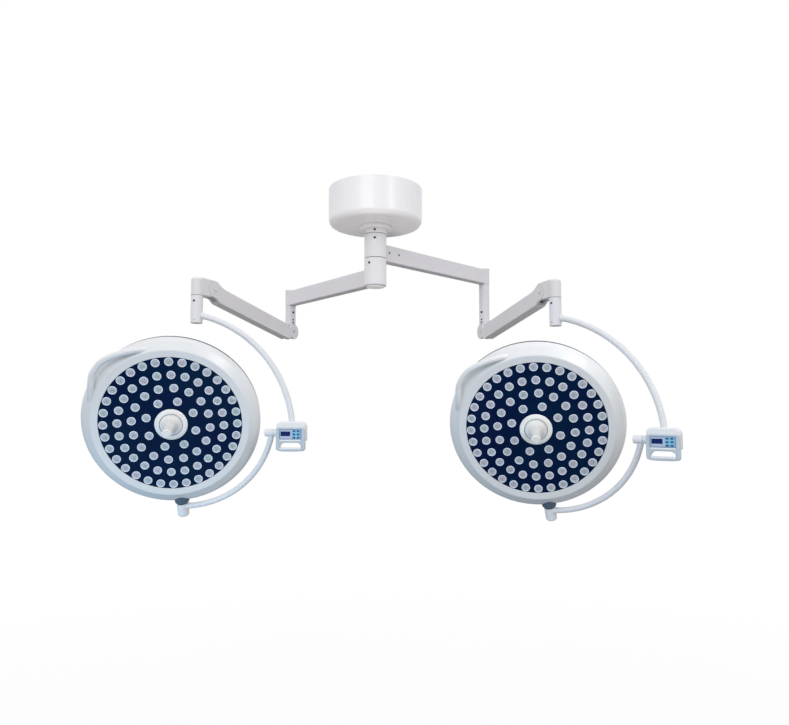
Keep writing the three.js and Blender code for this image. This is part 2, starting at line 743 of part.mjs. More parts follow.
function rearShell(unit) {
  const inner = [
    [0, SHELL_Y - SHELL_WALL],
    [150, 52 - SHELL_WALL],
    [289, 43 - SHELL_WALL],
    [HEAD_RADIUS - 12, RIM_BAND_Y + 4],
    [HEAD_RADIUS - 4, RIM_BAND_Y - 2],
    [HEAD_RADIUS - 4, SEAM_Y + GAP],
    SHELL_PROFILE[0],
  ];
  return piece(`${unit.side}_rear_shell`, turnedY([...SHELL_PROFILE, ...inner], HEAD_SIDES), headWhite);
}

// the whole head's outer form, swollen by the gap, for seating what stands on it
function headEnvelope() {
  const outline = [
    [0, LIP_Y - GAP],
    [LIP_RADIUS, LIP_Y - GAP],
    [346 + GAP, -22 - GAP],
    [HEAD_RADIUS + GAP, SEAM_Y],
    ...SHELL_PROFILE.slice(1, -1).map(([radius, y]) => [radius + GAP, y + GAP]),
    [0, SHELL_Y + GAP],
  ];
  return turnedY(outline, HEAD_SIDES);
}

function ledPlate(unit) {
  const profile = [
    [SOCKET_RADIUS, DISC_Y],
    [DISC_RADIUS, DISC_Y],
    [DISC_RADIUS, DISC_Y + DISC_THICKNESS],
    [SOCKET_RADIUS, DISC_Y + DISC_THICKNESS],
    [SOCKET_RADIUS, DISC_Y],
  ];
  return piece(`${unit.side}_led_plate`, turnedY(profile, HEAD_SIDES), discNavy);
}

function handleBase(unit) {
  const back = DISC_Y - GAP;
  const profile = [
    [0, back],
    [HANDLE_BASE_RADIUS, back],
    [HANDLE_BASE_RADIUS - 1, back - 5],
    [50, HANDLE_BASE_Y + 2],
    [46, HANDLE_BASE_Y + 3],
    [42, HANDLE_BASE_Y],
    [SOCKET_RADIUS, HANDLE_BASE_Y],
    [SOCKET_RADIUS, SOCKET_Y],
    [0, SOCKET_Y],
  ];
  return piece(`${unit.side}_handle_base`, turnedY(profile, TUBE_SIDES), handleWhite);
}

function sterileHandle(unit) {
  const root = HANDLE_BASE_Y - 2 * GAP;
  const profile = [
    [SOCKET_RADIUS + 0.8, root],
    [HANDLE_ROOT_RADIUS, root],
    [32, root - 10],
    [23, root - 31],
    [19, root - 60],
    [HANDLE_TIP_RADIUS, HANDLE_TIP_Y + 6],
    [HANDLE_TIP_RADIUS - 5, HANDLE_TIP_Y],
    [0, HANDLE_TIP_Y],
    [0, SOCKET_Y - 2],
    [SOCKET_RADIUS + 0.8, SOCKET_Y - 2],
    [SOCKET_RADIUS + 0.8, root],
  ];
  return piece(`${unit.side}_sterile_handle`, turnedY(profile, TUBE_SIDES), handleWhite);
}

// a bowed grip along the rim, given as radius, angle in the front view and depth
function sideHandle(unit) {
  const stations = [
    [328, 105, -30],
    [338, 109.5, -40],
    [349, 116.5, -47],
    [364, 125.5, -47],
    [369, 132.5, -45],
    [362, 140, -45],
    [347, 146, -44],
    [337, 150.5, -40],
    [328, 155, -30],
  ];
  const path = new THREE.CatmullRomCurve3(stations.map(([radius, angle, y]) => new THREE.Vector3(
    radius * Math.cos(degrees(angle)),
    y,
    radius * Math.sin(degrees(angle)),
  )));
  const grip = cut(sweep(path, SIDE_HANDLE_RADIUS, 9), headEnvelope());
  return piece(`${unit.side}_side_handle`, grip, headWhite);
}

// the dark collar under the rim, with the stem that turns in the lower yoke's cup
function swivelCollar(unit) {
  const bottom = CUP_TOP + 2 * GAP - HEAD_RISE;
  const profile = [
    [0, bottom + 60],
    [SWIVEL_COLLAR_RADIUS, bottom + 60],
    [SWIVEL_COLLAR_RADIUS, bottom + 14],
    [CUP_RADIUS - 1, bottom],
    [STEM_RADIUS, bottom],
    [STEM_RADIUS, bottom - 38],
    [0, bottom - 38],
  ];
  return piece(`${unit.side}_swivel_collar`, cut(turnedZ(profile, TUBE_SIDES), headEnvelope()), slate);
}

function lampHead(unit) {
  return groupAt(
    0,
    0,
    HEAD_RISE,
    rearShell(unit),
    frontBezel(unit),
    ledPlate(unit),
    handleBase(unit),
    sterileHandle(unit),
    sideHandle(unit),
    swivelCollar(unit),
  );
}

// ---------------------------------------------------------------- assembly

function lightUnit(unit) {
  const swivelling = groupAt(0, 0, 0, lampHead(unit));
  swivelling.rotation.z = degrees(unit.swivel);

  const rolling = groupAt(-GIMBAL_OFFSET, 0, -GIMBAL_DROP, lowerYoke(unit), swivelling);
  rolling.rotation.x = degrees(unit.roll);

  const boxZ = -GIMBAL_DROP - BOX_BELOW_ROLL;
  const box = groupAt(BOX_CENTRE_X, 0, boxZ, controlBox(unit), controlPanel(unit), ...keys(unit));
  const shaft = groupAt(-GIMBAL_OFFSET, 0, -GIMBAL_DROP, rollShaft(unit));
  const yawing = groupAt(YAW_OFFSET, 0, 0, yawBearing(unit), upperYoke(unit), box, shaft, rolling);
  yawing.rotation.z = degrees(unit.yokeHeading - unit.springHeading);

  const level = groupAt(SPRING_ARM_LENGTH, 0, 0, knuckle(unit), yawing);
  level.rotation.y = degrees(unit.springPitch);
  const upperPin = groupAt(SPRING_ARM_LENGTH, 0, 0, pivotPin(unit, 'upper_pivot_pin'));
  const pitching = groupAt(
    0,
    0,
    PIVOT_Z,
    springArmCasing(unit),
    balanceSpring(unit),
    pivotPin(unit, 'lower_pivot_pin'),
    upperPin,
    level,
  );
  pitching.rotation.y = -degrees(unit.springPitch);
  const linking = groupAt(0, 0, PIVOT_Z - LINK_DROP, linkRod(unit));
  linking.rotation.y = -degrees(unit.springPitch);

  const dropping = groupAt(unit.armLength, 0, 0, dropTube(unit), pitching, linking);
  dropping.rotation.z = degrees(unit.springHeading - unit.armHeading);

  const turning = groupAt(0, 0, 0, extensionArm(unit), dropping);
  turning.rotation.z = degrees(unit.armHeading);
  return turning;
}

const surgicalLight = new THREE.Group();
surgicalLight.add(ceilingPlate(), ceilingCover(), coverCollar(), hubSpindle(), hubTopSleeve(), hubBottomCap());
surgicalLight.add(...UNITS.map(lightUnit));

export default surgicalLight;
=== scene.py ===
"""Looks of a ceiling-mounted double-head surgical light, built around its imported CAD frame.

Each sub-part is drawn in millimetres in its own local frame. The local frames come from the CAD joints,
so a piece sits where the CAD puts it and rides on its CAD body.
"""
import json
import math
import random

import bmesh
import bpy
from mathutils import Matrix, Vector
from mathutils.geometry import tessellate_polygon

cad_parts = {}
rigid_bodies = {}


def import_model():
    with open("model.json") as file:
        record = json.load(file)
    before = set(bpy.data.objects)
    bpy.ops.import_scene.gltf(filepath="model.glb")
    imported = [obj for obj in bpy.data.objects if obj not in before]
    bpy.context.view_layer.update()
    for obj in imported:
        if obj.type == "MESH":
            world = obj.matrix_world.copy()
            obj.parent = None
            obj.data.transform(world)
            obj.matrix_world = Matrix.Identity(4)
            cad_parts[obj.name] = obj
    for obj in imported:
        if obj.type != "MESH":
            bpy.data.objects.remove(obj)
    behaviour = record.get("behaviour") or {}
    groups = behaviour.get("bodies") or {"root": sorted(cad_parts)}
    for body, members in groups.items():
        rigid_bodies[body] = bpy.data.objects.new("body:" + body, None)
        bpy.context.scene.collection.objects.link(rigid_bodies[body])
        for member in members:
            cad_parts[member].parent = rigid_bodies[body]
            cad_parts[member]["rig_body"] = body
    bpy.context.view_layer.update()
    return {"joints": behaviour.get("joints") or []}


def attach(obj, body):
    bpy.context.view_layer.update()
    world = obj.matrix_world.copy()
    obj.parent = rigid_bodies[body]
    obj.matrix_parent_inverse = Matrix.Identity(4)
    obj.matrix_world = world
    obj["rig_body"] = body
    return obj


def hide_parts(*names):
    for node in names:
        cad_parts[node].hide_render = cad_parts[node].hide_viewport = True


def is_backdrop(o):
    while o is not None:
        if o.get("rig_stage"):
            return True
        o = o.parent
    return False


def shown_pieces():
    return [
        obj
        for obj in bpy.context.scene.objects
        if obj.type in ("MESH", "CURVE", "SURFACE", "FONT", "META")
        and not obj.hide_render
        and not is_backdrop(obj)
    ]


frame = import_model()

MM = 0.001
SIDES = ("left", "right")

# ---- sizes in millimetres

# ceiling plate, cover and hub
PLATE_RADIUS = 150
PLATE_THICKNESS = 12
PLATE_BOLT_CIRCLE = 125
PLATE_BOLT_HOLE = 7
CABLE_HOLE_RADIUS = 18
CABLE_HOLE_X = 62
COVER_RADIUS = 203
COVER_HEIGHT = 162
COVER_CORNER = 27
COVER_WALL = 3
COVER_HOLE_RADIUS = 56
COLLAR_RADIUS = 72
COLLAR_HEIGHT = 12
SPINDLE_RADIUS = 30
SPINDLE_BORE = 18
SPINDLE_FLANGE = 90
SLEEVE_RADIUS = 48
SLEEVE_BORE = 31
SEAM_1_Z = -197
SEAM_2_Z = -303
SEAM_HALF = 1.2
HUB_BOTTOM_Z = -424

# arms, drop tubes and knuckles
ARM_WIDTH = 44
ARM_HEIGHT = 75
ARM_CORNER = 5
ARM_LEVEL = {"left": -383, "right": -273}
HOUSING_RADIUS = 27
HOUSING_CAP = 5.5
SPIGOT_RADIUS = 14.7
SPIGOT_LENGTH = 62
TUBE_RADIUS = 26
EAR_RADIUS = 38
SADDLE_RADIUS = 39.5
TONGUE_HALF = 12.5
PIN_RADIUS = 6
DROP_SCREW_HEIGHTS = (99, 61, 47)
CASING_HALF = 25
CASING_TOP = 21
CASING_BOTTOM = -49
CASING_WALL = 4
FORK_SLOT = 27
FORK_DEPTH = 42
LINK_DROP = 24
LINK_Y = 5.5
YAW_OFFSET = 85
KNUCKLE_TOP = 39
KNUCKLE_BOTTOM = -38
YAW_RADIUS = 25
YAW_SPIGOT = 12
YAW_BOTTOM = -158

# yokes and control box
UPPER_YOKE_CENTRE = (-100, -632)
UPPER_YOKE_RADIUS = 521
UPPER_TUBE_RADIUS = 12.5
BOX_CENTRE = (417, 0, -633)
BOX_BELOW_ROLL = 15
BOX_WIDTH = 124
BOX_HEIGHT = 124
BOX_DEPTH = 55
FRAME_TOP = 37
FRAME_DEPTH = 9
GRIP_WIDTH = 87
GRIP_TOP = -25.8
GRIP_BOTTOM = -45.8
GRIP_FRAME_DEPTH = 20
GRIP_FRAME_TOP = -20
PANEL_WIDTH = 92
PANEL_HEIGHT = 42
PANEL_Z = 9
PANEL_RECESS = 5
SCREEN_WIDTH = 40
SCREEN_HEIGHT = 19
SCREEN_X = -20.5
SCREEN_Z = 2
KEY_WIDTH = 10.5
KEY_HEIGHT = 6
KEY_COLUMNS = (15.5, 32.5)
KEY_ROWS = (12.3, -0.4, -13.1)
HEAD_RISE = 51
LOWER_YOKE_CENTRE = (-10, 102)
LOWER_YOKE_RADIUS = 441
LOWER_TUBE_RADIUS = 12
ROLL_SLEEVE = (390, 427)
ROLL_SLEEVE_RADIUS = 16
ROLL_BOSS_START = 428
ROLL_SHAFT_RADIUS = 8
GIMBAL_OFFSET = 86
CUP_RADIUS = 23.5
CUP_TOP = -325
CUP_BOTTOM = -383
STEM_RADIUS = 10

# lamp head; y is depth from the head centre, with the lit front at negative y
HEAD_RADIUS = 359.7
LIP_RADIUS = 315
DISC_RADIUS = 285
LIP_Y = -47
DISC_Y = -44
SEAM_Y = 2
RIM_BAND_Y = 24
HANDLE_BASE_RADIUS = 66
HANDLE_BASE_Y = -54
SOCKET_RADIUS = 14
HANDLE_TIP_Y = -164
SIDE_HANDLE_RADIUS = 12.8
LENS_RADIUS = 17.6
LENS_SPIN = {"left": 0.0, "right": -2.65}
# each ring: its radius, its number of lenses and the angle of the first one
LENS_RINGS = ((101, 8, 24.6), (156, 16, 12.5), (211, 24, 9.0), (266, 32, 7.2))

# circle subdivisions
FINE = 160
ROUND = 64
TUBE = 36
SMALL = 24

# ---- shader building


class Shader:
    """Adds nodes to a new material and joins them."""

    def __init__(self, name):
        self.material = bpy.data.materials.new(name)
        self.material.use_nodes = True
        self.tree = self.material.node_tree
        self.surface = self.tree.nodes["Principled BSDF"]
        self.place = self.tree.nodes.new("ShaderNodeTexCoord").outputs["Object"]

    def feed(self, socket, value):
        if isinstance(value, bpy.types.NodeSocket):
            self.tree.links.new(value, socket)
        elif socket.type == "RGBA":
            socket.default_value = (*value, 1.0)
        else:
            socket.default_value = value

    def add(self, kind, settings=None, **inputs):
        node = self.tree.nodes.new(kind)
        for key, value in (settings or {}).items():
            setattr(node, key, value)
        for key, value in inputs.items():
            self.feed(node.inputs[key.replace("_", " ")], value)
        return node

    def set(self, **inputs):
        for key, value in inputs.items():
            self.feed(self.surface.inputs[key.replace("_", " ")], value)

    def stretched(self, scale):
        return self.add("ShaderNodeMapping", Vector=self.place, Scale=scale).outputs["Vector"]

    def noise(self, scale, detail=3.0, place=None):
        where = place or self.place
        return self.add("ShaderNodeTexNoise", Vector=where, Scale=scale, Detail=detail).outputs["Fac"]

    def span(self, source, low, high, from_low=0.3, from_high=0.7):
        node = self.add("ShaderNodeMapRange", Value=source, From_Min=from_low, From_Max=from_high)
        self.feed(node.inputs["To Min"], low)
        self.feed(node.inputs["To Max"], high)
        return node.outputs["Result"]

    def math(self, operation, first, second=0.0, clamp=False):
        node = self.tree.nodes.new("ShaderNodeMath")
        node.operation = operation
        node.use_clamp = clamp
        self.feed(node.inputs[0], first)
        self.feed(node.inputs[1], second)
        return node.outputs["Value"]

    def blend(self, factor, first, second):
        node = self.add("ShaderNodeMix", {"data_type": "RGBA"})
        self.feed(node.inputs["Factor"], factor)
        self.feed(node.inputs[6], first)
        self.feed(node.inputs[7], second)
        return node.outputs[2]

    def tinted(self, colour, low, high, scale, detail=3.0):
        """The colour, drifting in patches between two brightness factors."""
        drift = self.span(self.noise(scale, detail), 0.0, 1.0)
        return self.blend(drift, scaled(colour, low), scaled(colour, high))

    def bump(self, height, strength, distance, normal=None):
        node = self.add("ShaderNodeBump", Height=height, Strength=strength, Distance=distance)
        if normal is not None:
            self.feed(node.inputs["Normal"], normal)
        return node.outputs["Normal"]

    def edges(self, radius):
        """1 on sharp edges and 0 on flats, from how far a bevelled normal turns away."""
        soft = self.add("ShaderNodeBevel", {"samples": 4}, Radius=radius).outputs["Normal"]
        flat = self.add("ShaderNodeNewGeometry").outputs["Normal"]
        turn = self.add("ShaderNodeVectorMath", {"operation": "DOT_PRODUCT"})
        self.feed(turn.inputs[0], soft)
        self.feed(turn.inputs[1], flat)
        return self.span(turn.outputs["Value"], 1.0, 0.0, 0.75, 0.99)

    def attribute(self, name):
        return self.add("ShaderNodeAttribute", {"attribute_name": name}).outputs["Fac"]


def scaled(colour, factor):
    return tuple(min(1.0, part * factor) for part in colour)


def powder_coat(name, colour, roughness, hub=None):
    """Baked powder paint: fine orange peel, edges lighter in patches (part thinner worn paint, part painted
    edge highlight), and the hub may be paler.
    """
    shader = Shader(name)
    base = shader.tinted(colour, 0.965, 1.02, 2.4)
    if hub:
        length = shader.add("ShaderNodeVectorMath", {"operation": "LENGTH"})
        shader.feed(length.inputs[0], shader.stretched((1.0, 1.0, 0.0)))
        edge = (SLEEVE_RADIUS + 0.2) * MM
        near = shader.span(length.outputs["Value"], 1.0, 0.0, edge, edge + 0.6 * MM)
        base = shader.blend(near, base, hub)
    # painted edge highlight mixed with wear: sharp edges made lighter in patches
    wear_and_edge_highlight = shader.math("MULTIPLY", shader.edges(0.0015), shader.noise(90))
    shader.set(Base_Color=shader.blend(wear_and_edge_highlight, base, scaled(colour, 1.12)))
    smear = shader.noise(9, place=shader.stretched((1.0, 1.0, 3.0)))
    shader.set(Roughness=shader.span(smear, roughness - 0.06, roughness + 0.07))
    peel = shader.bump(shader.noise(420, 1.0), 0.12, 0.0001)
    shader.set(Normal=shader.bump(shader.noise(1800, 0.0), 0.04, 0.00004, peel))
    return shader.material


def gloss_plastic(name, colour, roughness, coat):
    """Injection-moulded gloss plastic: slow waviness in its reflections, hairline wipe marks."""
    shader = Shader(name)
    shader.set(Base_Color=shader.tinted(colour, 0.975, 1.01, 3.0))
    wipe = shader.noise(70, 4.0, shader.stretched((1.0, 6.0, 0.6)))
    shader.set(Roughness=shader.span(wipe, roughness - 0.05, roughness + 0.08))
    shader.set(Coat_Weight=coat, Coat_Roughness=0.12)
    wave = shader.bump(shader.noise(6, 0.0), 0.12, 0.0008)
    shader.set(Normal=shader.bump(shader.noise(700, 1.0), 0.05, 0.00002, wave))
    return shader.material


def textured_plastic(name, colour, roughness=0.46, grain=1500):
    """Spark-textured moulded plastic with edges lighter in patches, part rubbed wear and part painted edge
    highlight.
    """
    shader = Shader(name)
    base = shader.tinted(colour, 0.95, 1.04, 14)
    # painted edge highlight mixed with rubbed wear: sharp edges made lighter in patches
    wear_and_edge_highlight = shader.math("MULTIPLY", shader.edges(0.0012), shader.noise(220))
    shader.set(Base_Color=shader.blend(wear_and_edge_highlight, base, scaled(colour, 1.3)))
    shader.set(Roughness=shader.span(shader.noise(40), roughness - 0.05, roughness + 0.08))
    shader.set(Normal=shader.bump(shader.noise(grain, 2.0), 0.35, 0.00008))
    return shader.material


def brushed_steel(name, black=None):
    """Turned and brushed stainless steel, with fine lines along the grain, or blackened."""
    shader = Shader(name)
    grain = shader.noise(500, 3.0, shader.stretched((1.0, 1.0, 0.04)))
    lines = shader.span(grain, 0.0, 1.0)
    shader.set(Base_Color=black or shader.blend(lines, (0.46, 0.47, 0.49), (0.62, 0.63, 0.65)))
    shader.set(Metallic=1.0, Roughness=shader.span(grain, 0.26, 0.42))
    shader.set(Normal=shader.bump(grain, 0.2, 0.00006))
    return shader.material


def navy_plate(name):
    """The deep navy front plate: tinted clear sheet over ink that drifts between blue and teal."""
    shader = Shader(name)
    drift = shader.span(shader.noise(5.5, 2.0), 0.0, 1.0)
    base = shader.blend(drift, (0.0020, 0.0080, 0.046), (0.0012, 0.0150, 0.046))
    flakes = shader.span(shader.noise(900, 1.0), 0.0, 0.25, 0.62, 0.8)
    shader.set(Base_Color=shader.blend(flakes, base, (0.006, 0.024, 0.085)))
    dust = shader.span(shader.noise(36, 5.0), 0.16, 0.26)
    shader.set(Roughness=dust, Coat_Weight=0.02, Coat_Roughness=0.06, Specular_IOR_Level=0.02)
    shader.set(Normal=shader.bump(shader.noise(12, 1.0), 0.1, 0.0006))
    return shader.material


def lens_plastic(name):
    """Clear collimator lens over its reflector, drawn opaque: a painted bright rim highlight, moulded steps
    with painted lighter glint rings, and a three-lobed heart.
    """
    shader = Shader(name)
    radius = shader.attribute("lens_radius")
    turn = shader.attribute("lens_turn")
    tint = shader.attribute("lens_tint")
    steps = shader.math("SINE", shader.math("MULTIPLY", radius, 26.0))
    steps = shader.span(steps, 0.0, 1.0, -1.0, 1.0)
    lobes = shader.span(shader.math("SINE", shader.math("MULTIPLY", turn, 3.0)), 0.0, 1.0, -0.6, 0.9)
    heart = shader.span(radius, 1.0, 0.0, 0.12, 0.62)
    dark = shader.math("MULTIPLY", lobes, heart, True)
    glass = shader.blend(tint, (0.36, 0.44, 0.455), (0.45, 0.41, 0.49))
    # painted glints: lighter rings on the moulded steps
    base = shader.blend(shader.math("MULTIPLY", steps, 0.35), glass, (0.68, 0.72, 0.79))
    base = shader.blend(shader.math("MULTIPLY", dark, 0.85), base, (0.17, 0.20, 0.25))
    # painted highlight: the lens's outer rim made bright
    rim = shader.span(radius, 0.0, 1.0, 0.76, 0.84)
    base = shader.blend(rim, base, (0.72, 0.78, 0.88))
    shader.set(Base_Color=base, Roughness=0.18, Coat_Weight=0.6, Coat_Roughness=0.05)
    shader.set(Normal=shader.bump(steps, 0.15, 0.0003))
    return shader.material


def printed_film(name, colour):
    """Polyester overlay film with a fine velvet texture."""
    shader = Shader(name)
    shader.set(Base_Color=shader.tinted(colour, 0.95, 1.04, 60))
    shader.set(Roughness=shader.span(shader.noise(160), 0.27, 0.38))
    cells = shader.add("ShaderNodeTexVoronoi", Vector=shader.place, Scale=1600.0).outputs["Distance"]
    shader.set(Normal=shader.bump(cells, 0.2, 0.00004), Coat_Weight=0.12)
    return shader.material


def display_glass(name):
    """Dark display window with a faint cell grid behind it."""
    shader = Shader(name)
    grid = shader.add("ShaderNodeTexBrick", {"offset": 0.0}, Vector=shader.place, Scale=380.0)
    shader.feed(grid.inputs["Color1"], (0.002, 0.018, 0.115))
    shader.feed(grid.inputs["Color2"], (0.003, 0.026, 0.14))
    shader.feed(grid.inputs["Mortar"], (0.001, 0.008, 0.06))
    shader.set(Base_Color=grid.outputs["Color"], Roughness=shader.span(shader.noise(120), 0.1, 0.2))
    shader.set(Coat_Weight=0.05, Coat_Roughness=0.05, Specular_IOR_Level=0.15)
    return shader.material


def rubber(name, colour):
    """Dark elastomer seal with a dry, slightly dusty surface."""
    shader = Shader(name)
    shader.set(Base_Color=shader.tinted(colour, 1.0, 1.35, 130, 4.0))
    shader.set(Roughness=shader.span(shader.noise(60), 0.6, 0.8))
    shader.set(Normal=shader.bump(shader.noise(1200), 0.3, 0.0001))
    return shader.material


HUB_TONE = (0.90, 0.895, 0.92)
# the CAD's materials, then those of pieces that only the looks have
MATERIALS = {
    "cover_white": gloss_plastic("cover gloss white", (0.90, 0.895, 0.925), 0.30, 0.25),
    "hub_white": powder_coat("hub powder white", (0.82, 0.815, 0.835), 0.38, HUB_TONE),
    "arm_paint": powder_coat("arm powder grey", (0.79, 0.775, 0.81), 0.44, HUB_TONE),
    "yoke_paint": powder_coat("yoke powder white", (0.80, 0.815, 0.84), 0.34),
    "head_white": gloss_plastic("head moulded white", (0.71, 0.725, 0.735), 0.32, 0.15),
    "box_plastic": textured_plastic("box blue grey", (0.52, 0.60, 0.665)),
    "panel_film": printed_film("panel film lilac", (0.46, 0.53, 0.71)),
    "key_plastic": textured_plastic("key deep blue", (0.016, 0.115, 0.27), 0.38, 2600),
    "led_disc": navy_plate("front plate navy"),
    "slate_plastic": textured_plastic("collar slate", (0.065, 0.105, 0.155), 0.5),
    "handle_plastic": gloss_plastic("handle white", (0.86, 0.86, 0.845), 0.28, 0.3),
    "steel": brushed_steel("steel brushed"),
}
EXTRA = {
    "box_white": gloss_plastic("box rear white", (0.85, 0.86, 0.87), 0.3, 0.2),
    "keypad_film": printed_film("keypad film sky", (0.25, 0.60, 0.86)),
    "panel_edge": printed_film("panel edge steel blue", (0.20, 0.31, 0.50)),
    "display": display_glass("display window"),
    "lens": lens_plastic("lens clear"),
    "seal": rubber("seal dark", (0.05, 0.055, 0.065)),
    # dark rings: the yaw washer and the rim band, and painted shade for the ring laid in the handle base's
    # groove
    "gasket": rubber("slate ring and groove shade", (0.07, 0.08, 0.095)),
    "screw_dark": brushed_steel("screw blackened", (0.05, 0.05, 0.058)),
}

# ---- outlines and meshes, in millimetres


def polar(radius, degrees, centre=(0.0, 0.0)):
    angle = math.radians(degrees)
    return (centre[0] + radius * math.cos(angle), centre[1] + radius * math.sin(angle))


def arc(centre, radius, start, end, steps=16):
    return [polar(radius, start + (end - start) * i / steps, centre) for i in range(steps + 1)]


def rounded(corners, closed=True, steps=5):
    """An outline whose corners (x, y, radius) become arcs; a corner without a radius stays sharp."""
    outline = []
    count = len(corners)
    for i, corner in enumerate(corners):
        point = Vector(corner[:2])
        radius = corner[2] if len(corner) == 3 else 0.0
        if radius <= 0 or (not closed and i in (0, count - 1)):
            outline.append(tuple(point))
            continue
        back = Vector(corners[i - 1][:2]) - point
        ahead = Vector(corners[(i + 1) % count][:2]) - point
        half = back.angle(ahead) / 2
        reach = min(radius / math.tan(half), back.length * 0.49, ahead.length * 0.49)
        middle = (back.normalized() + ahead.normalized()).normalized()
        centre = point + middle * (reach / math.cos(half))
        start = point + back.normalized() * reach - centre
        end = point + ahead.normalized() * reach - centre
        turn = math.atan2(start.x * end.y - start.y * end.x, start.dot(end))
        first = math.atan2(start.y, start.x)
        for k in range(steps + 1):
            angle = math.degrees(first + turn * k / steps)
            outline.append(polar(start.length, angle, centre))
    return outline


def rectangle(width, height, corner, centre=(0.0, 0.0), steps=6):
    x, y = width / 2, height / 2
    corners = [(-x, -y), (x, -y), (x, y), (-x, y)]
    return rounded([(centre[0] + a, centre[1] + b, corner) for a, b in corners], steps=steps)


def circle(radius, centre=(0.0, 0.0), sides=ROUND):
    return [polar(radius, 360 * i / sides, centre) for i in range(sides)]


def signed_area(loop):
    return sum(a[0] * b[1] - b[0] * a[1] for a, b in zip(loop, loop[1:] + loop[:1])) / 2


def shifted(loop, distance):
    """The loop moved sideways, to the left of its travel, by distance."""
    moved = []
    for i, point in enumerate(loop):
        before = Vector(point) - Vector(loop[i - 1])
        after = Vector(loop[(i + 1) % len(loop)]) - Vector(point)
        left = Vector((-before.y, before.x)).normalized()
        normal = (left + Vector((-after.y, after.x)).normalized()).normalized()
        moved.append(tuple(Vector(point) + normal * (distance / max(0.4, normal.dot(left)))))
    return moved


def mesh_of(vertices, faces):
    mesh = bpy.data.meshes.new("shape")
    mesh.from_pydata([tuple(v) for v in vertices], [], faces)
    builder = bmesh.new()
    builder.from_mesh(mesh)
    bmesh.ops.remove_doubles(builder, verts=builder.verts, dist=1e-4)
    bmesh.ops.recalc_face_normals(builder, faces=builder.faces)
    builder.to_mesh(mesh)
    builder.free()
    return mesh


AXES = {
    "X": lambda u, v, depth: (depth, u, v),
    "Y": lambda u, v, depth: (u, depth, v),
    "Z": lambda u, v, depth: (u, v, depth),
}


def lathe(profile, axis="Z", sides=ROUND, centre=(0.0, 0.0)):
    """A closed solid of revolution; the profile's pairs are (radius, place along the axis)."""
    to_point = AXES[axis]
    vertices = []
    rings = []
    for radius, depth in profile:
        start = len(vertices)
        if abs(radius) < 1e-6:
            vertices.append(to_point(*centre, depth))
            rings.append([start])
        else:
            vertices += [to_point(*polar(radius, 360 * i / sides, centre), depth) for i in range(sides)]
            rings.append(list(range(start, start + sides)))
    on_axis = len(rings[0]) == 1 and len(rings[-1]) == 1
    pairs = zip(rings, rings[1:] if on_axis else rings[1:] + rings[:1])
    faces = []
    for low, high in pairs:
        for i in range(sides):
            j = (i + 1) % sides
            corners = [low[i % len(low)], low[j % len(low)], high[j % len(high)], high[i % len(high)]]
            corner_set = list(dict.fromkeys(corners))
            if len(corner_set) > 2:
                faces.append(corner_set)
    return mesh_of(vertices, faces)


def plug(radius, start, end, axis="Z", sides=ROUND, centre=(0.0, 0.0), corners=(), steps=5):
    """A round bar between two places along the axis; corners holds the rounding of its two rims."""
    profile = [(0, start), (radius, start), (radius, end), (0, end)]
    if corners:
        profile[1] += (corners[0],)
        profile[2] += (corners[1],)
        profile = rounded(profile, False, steps)
    return lathe(profile, axis, sides, centre)


def washer(bore, radius, start, end, sides=ROUND):
    """A flat ring round Z."""
    return lathe([(bore, start), (radius, start), (radius, end), (bore, end)], sides=sides)


def slab(outline, low, high, bevel=0.0, holes=(), axis="Y", steps=3):
    """An outline given a thickness, its rims rounded by bevel, with through holes."""
    loops = [outline if signed_area(outline) > 0 else outline[::-1]]
    loops += [hole if signed_area(hole) < 0 else hole[::-1] for hole in holes]
    rims = [(low + bevel * (1 - math.cos(t)), bevel * (1 - math.sin(t))) for t in quarter(bevel, steps)]
    rims += [(high - (depth - low), inset) for depth, inset in reversed(rims)]
    to_point = AXES[axis]
    vertices = []
    faces = []
    flat = [[shifted(loop, inset) if inset else loop for loop in loops] for _, inset in rims]
    for (depth, _), level in zip(rims, flat):
        vertices += [to_point(*point, depth) for loop in level for point in loop]
    size = sum(len(loop) for loop in loops)
    for level in range(len(rims) - 1):
        start = 0
        for loop in loops:
            for i in range(len(loop)):
                a = level * size + start + i
                b = level * size + start + (i + 1) % len(loop)
                faces.append([a, b, b + size, a + size])
            start += len(loop)
    caps = tessellate_polygon([[Vector((*point, 0.0)) for point in loop] for loop in flat[0]])
    top = (len(rims) - 1) * size
    if holes:
        faces += [list(cap) for cap in caps]
        faces += [[corner + top for corner in cap] for cap in caps]
    else:
        faces += [list(range(size)), list(range(top, top + size))]
    return mesh_of(vertices, faces)


def quarter(bevel, steps):
    return [math.radians(90 * k / steps) for k in range(steps + 1)] if bevel else [math.radians(90)]


def tube(path, radii, sides=TUBE):
    """A round bar along a path of points; its ends are closed and slightly rounded."""
    path = [Vector(point) for point in path]
    radii = list(radii) if hasattr(radii, "__len__") else [radii] * len(path)
    first = (path[1] - path[0]).normalized()
    last = (path[-1] - path[-2]).normalized()
    path = [path[0], path[0] + first * 0.8] + path[1:-1] + [path[-1] - last * 0.8, path[-1]]
    radii = [radii[0] - 0.8, radii[0]] + radii[1:-1] + [radii[-1], radii[-1] - 0.8]
    normal = first.orthogonal().normalized()
    vertices = []
    for i, point in enumerate(path):
        ahead = path[min(i + 1, len(path) - 1)] - path[max(i - 1, 0)]
        along = ahead.normalized()
        normal = (normal - along * normal.dot(along)).normalized()
        across = along.cross(normal)
        for k in range(sides):
            a, b = polar(radii[i], 360 * k / sides)
            vertices.append(point + normal * a + across * b)
    faces = []
    for i in range(len(path) - 1):
        for k in range(sides):
            j = (k + 1) % sides
            faces.append([i * sides + k, i * sides + j, (i + 1) * sides + j, (i + 1) * sides + k])
    end = (len(path) - 1) * sides
    faces += [list(range(sides)), list(range(end, end + sides))]
    return mesh_of(vertices, faces)


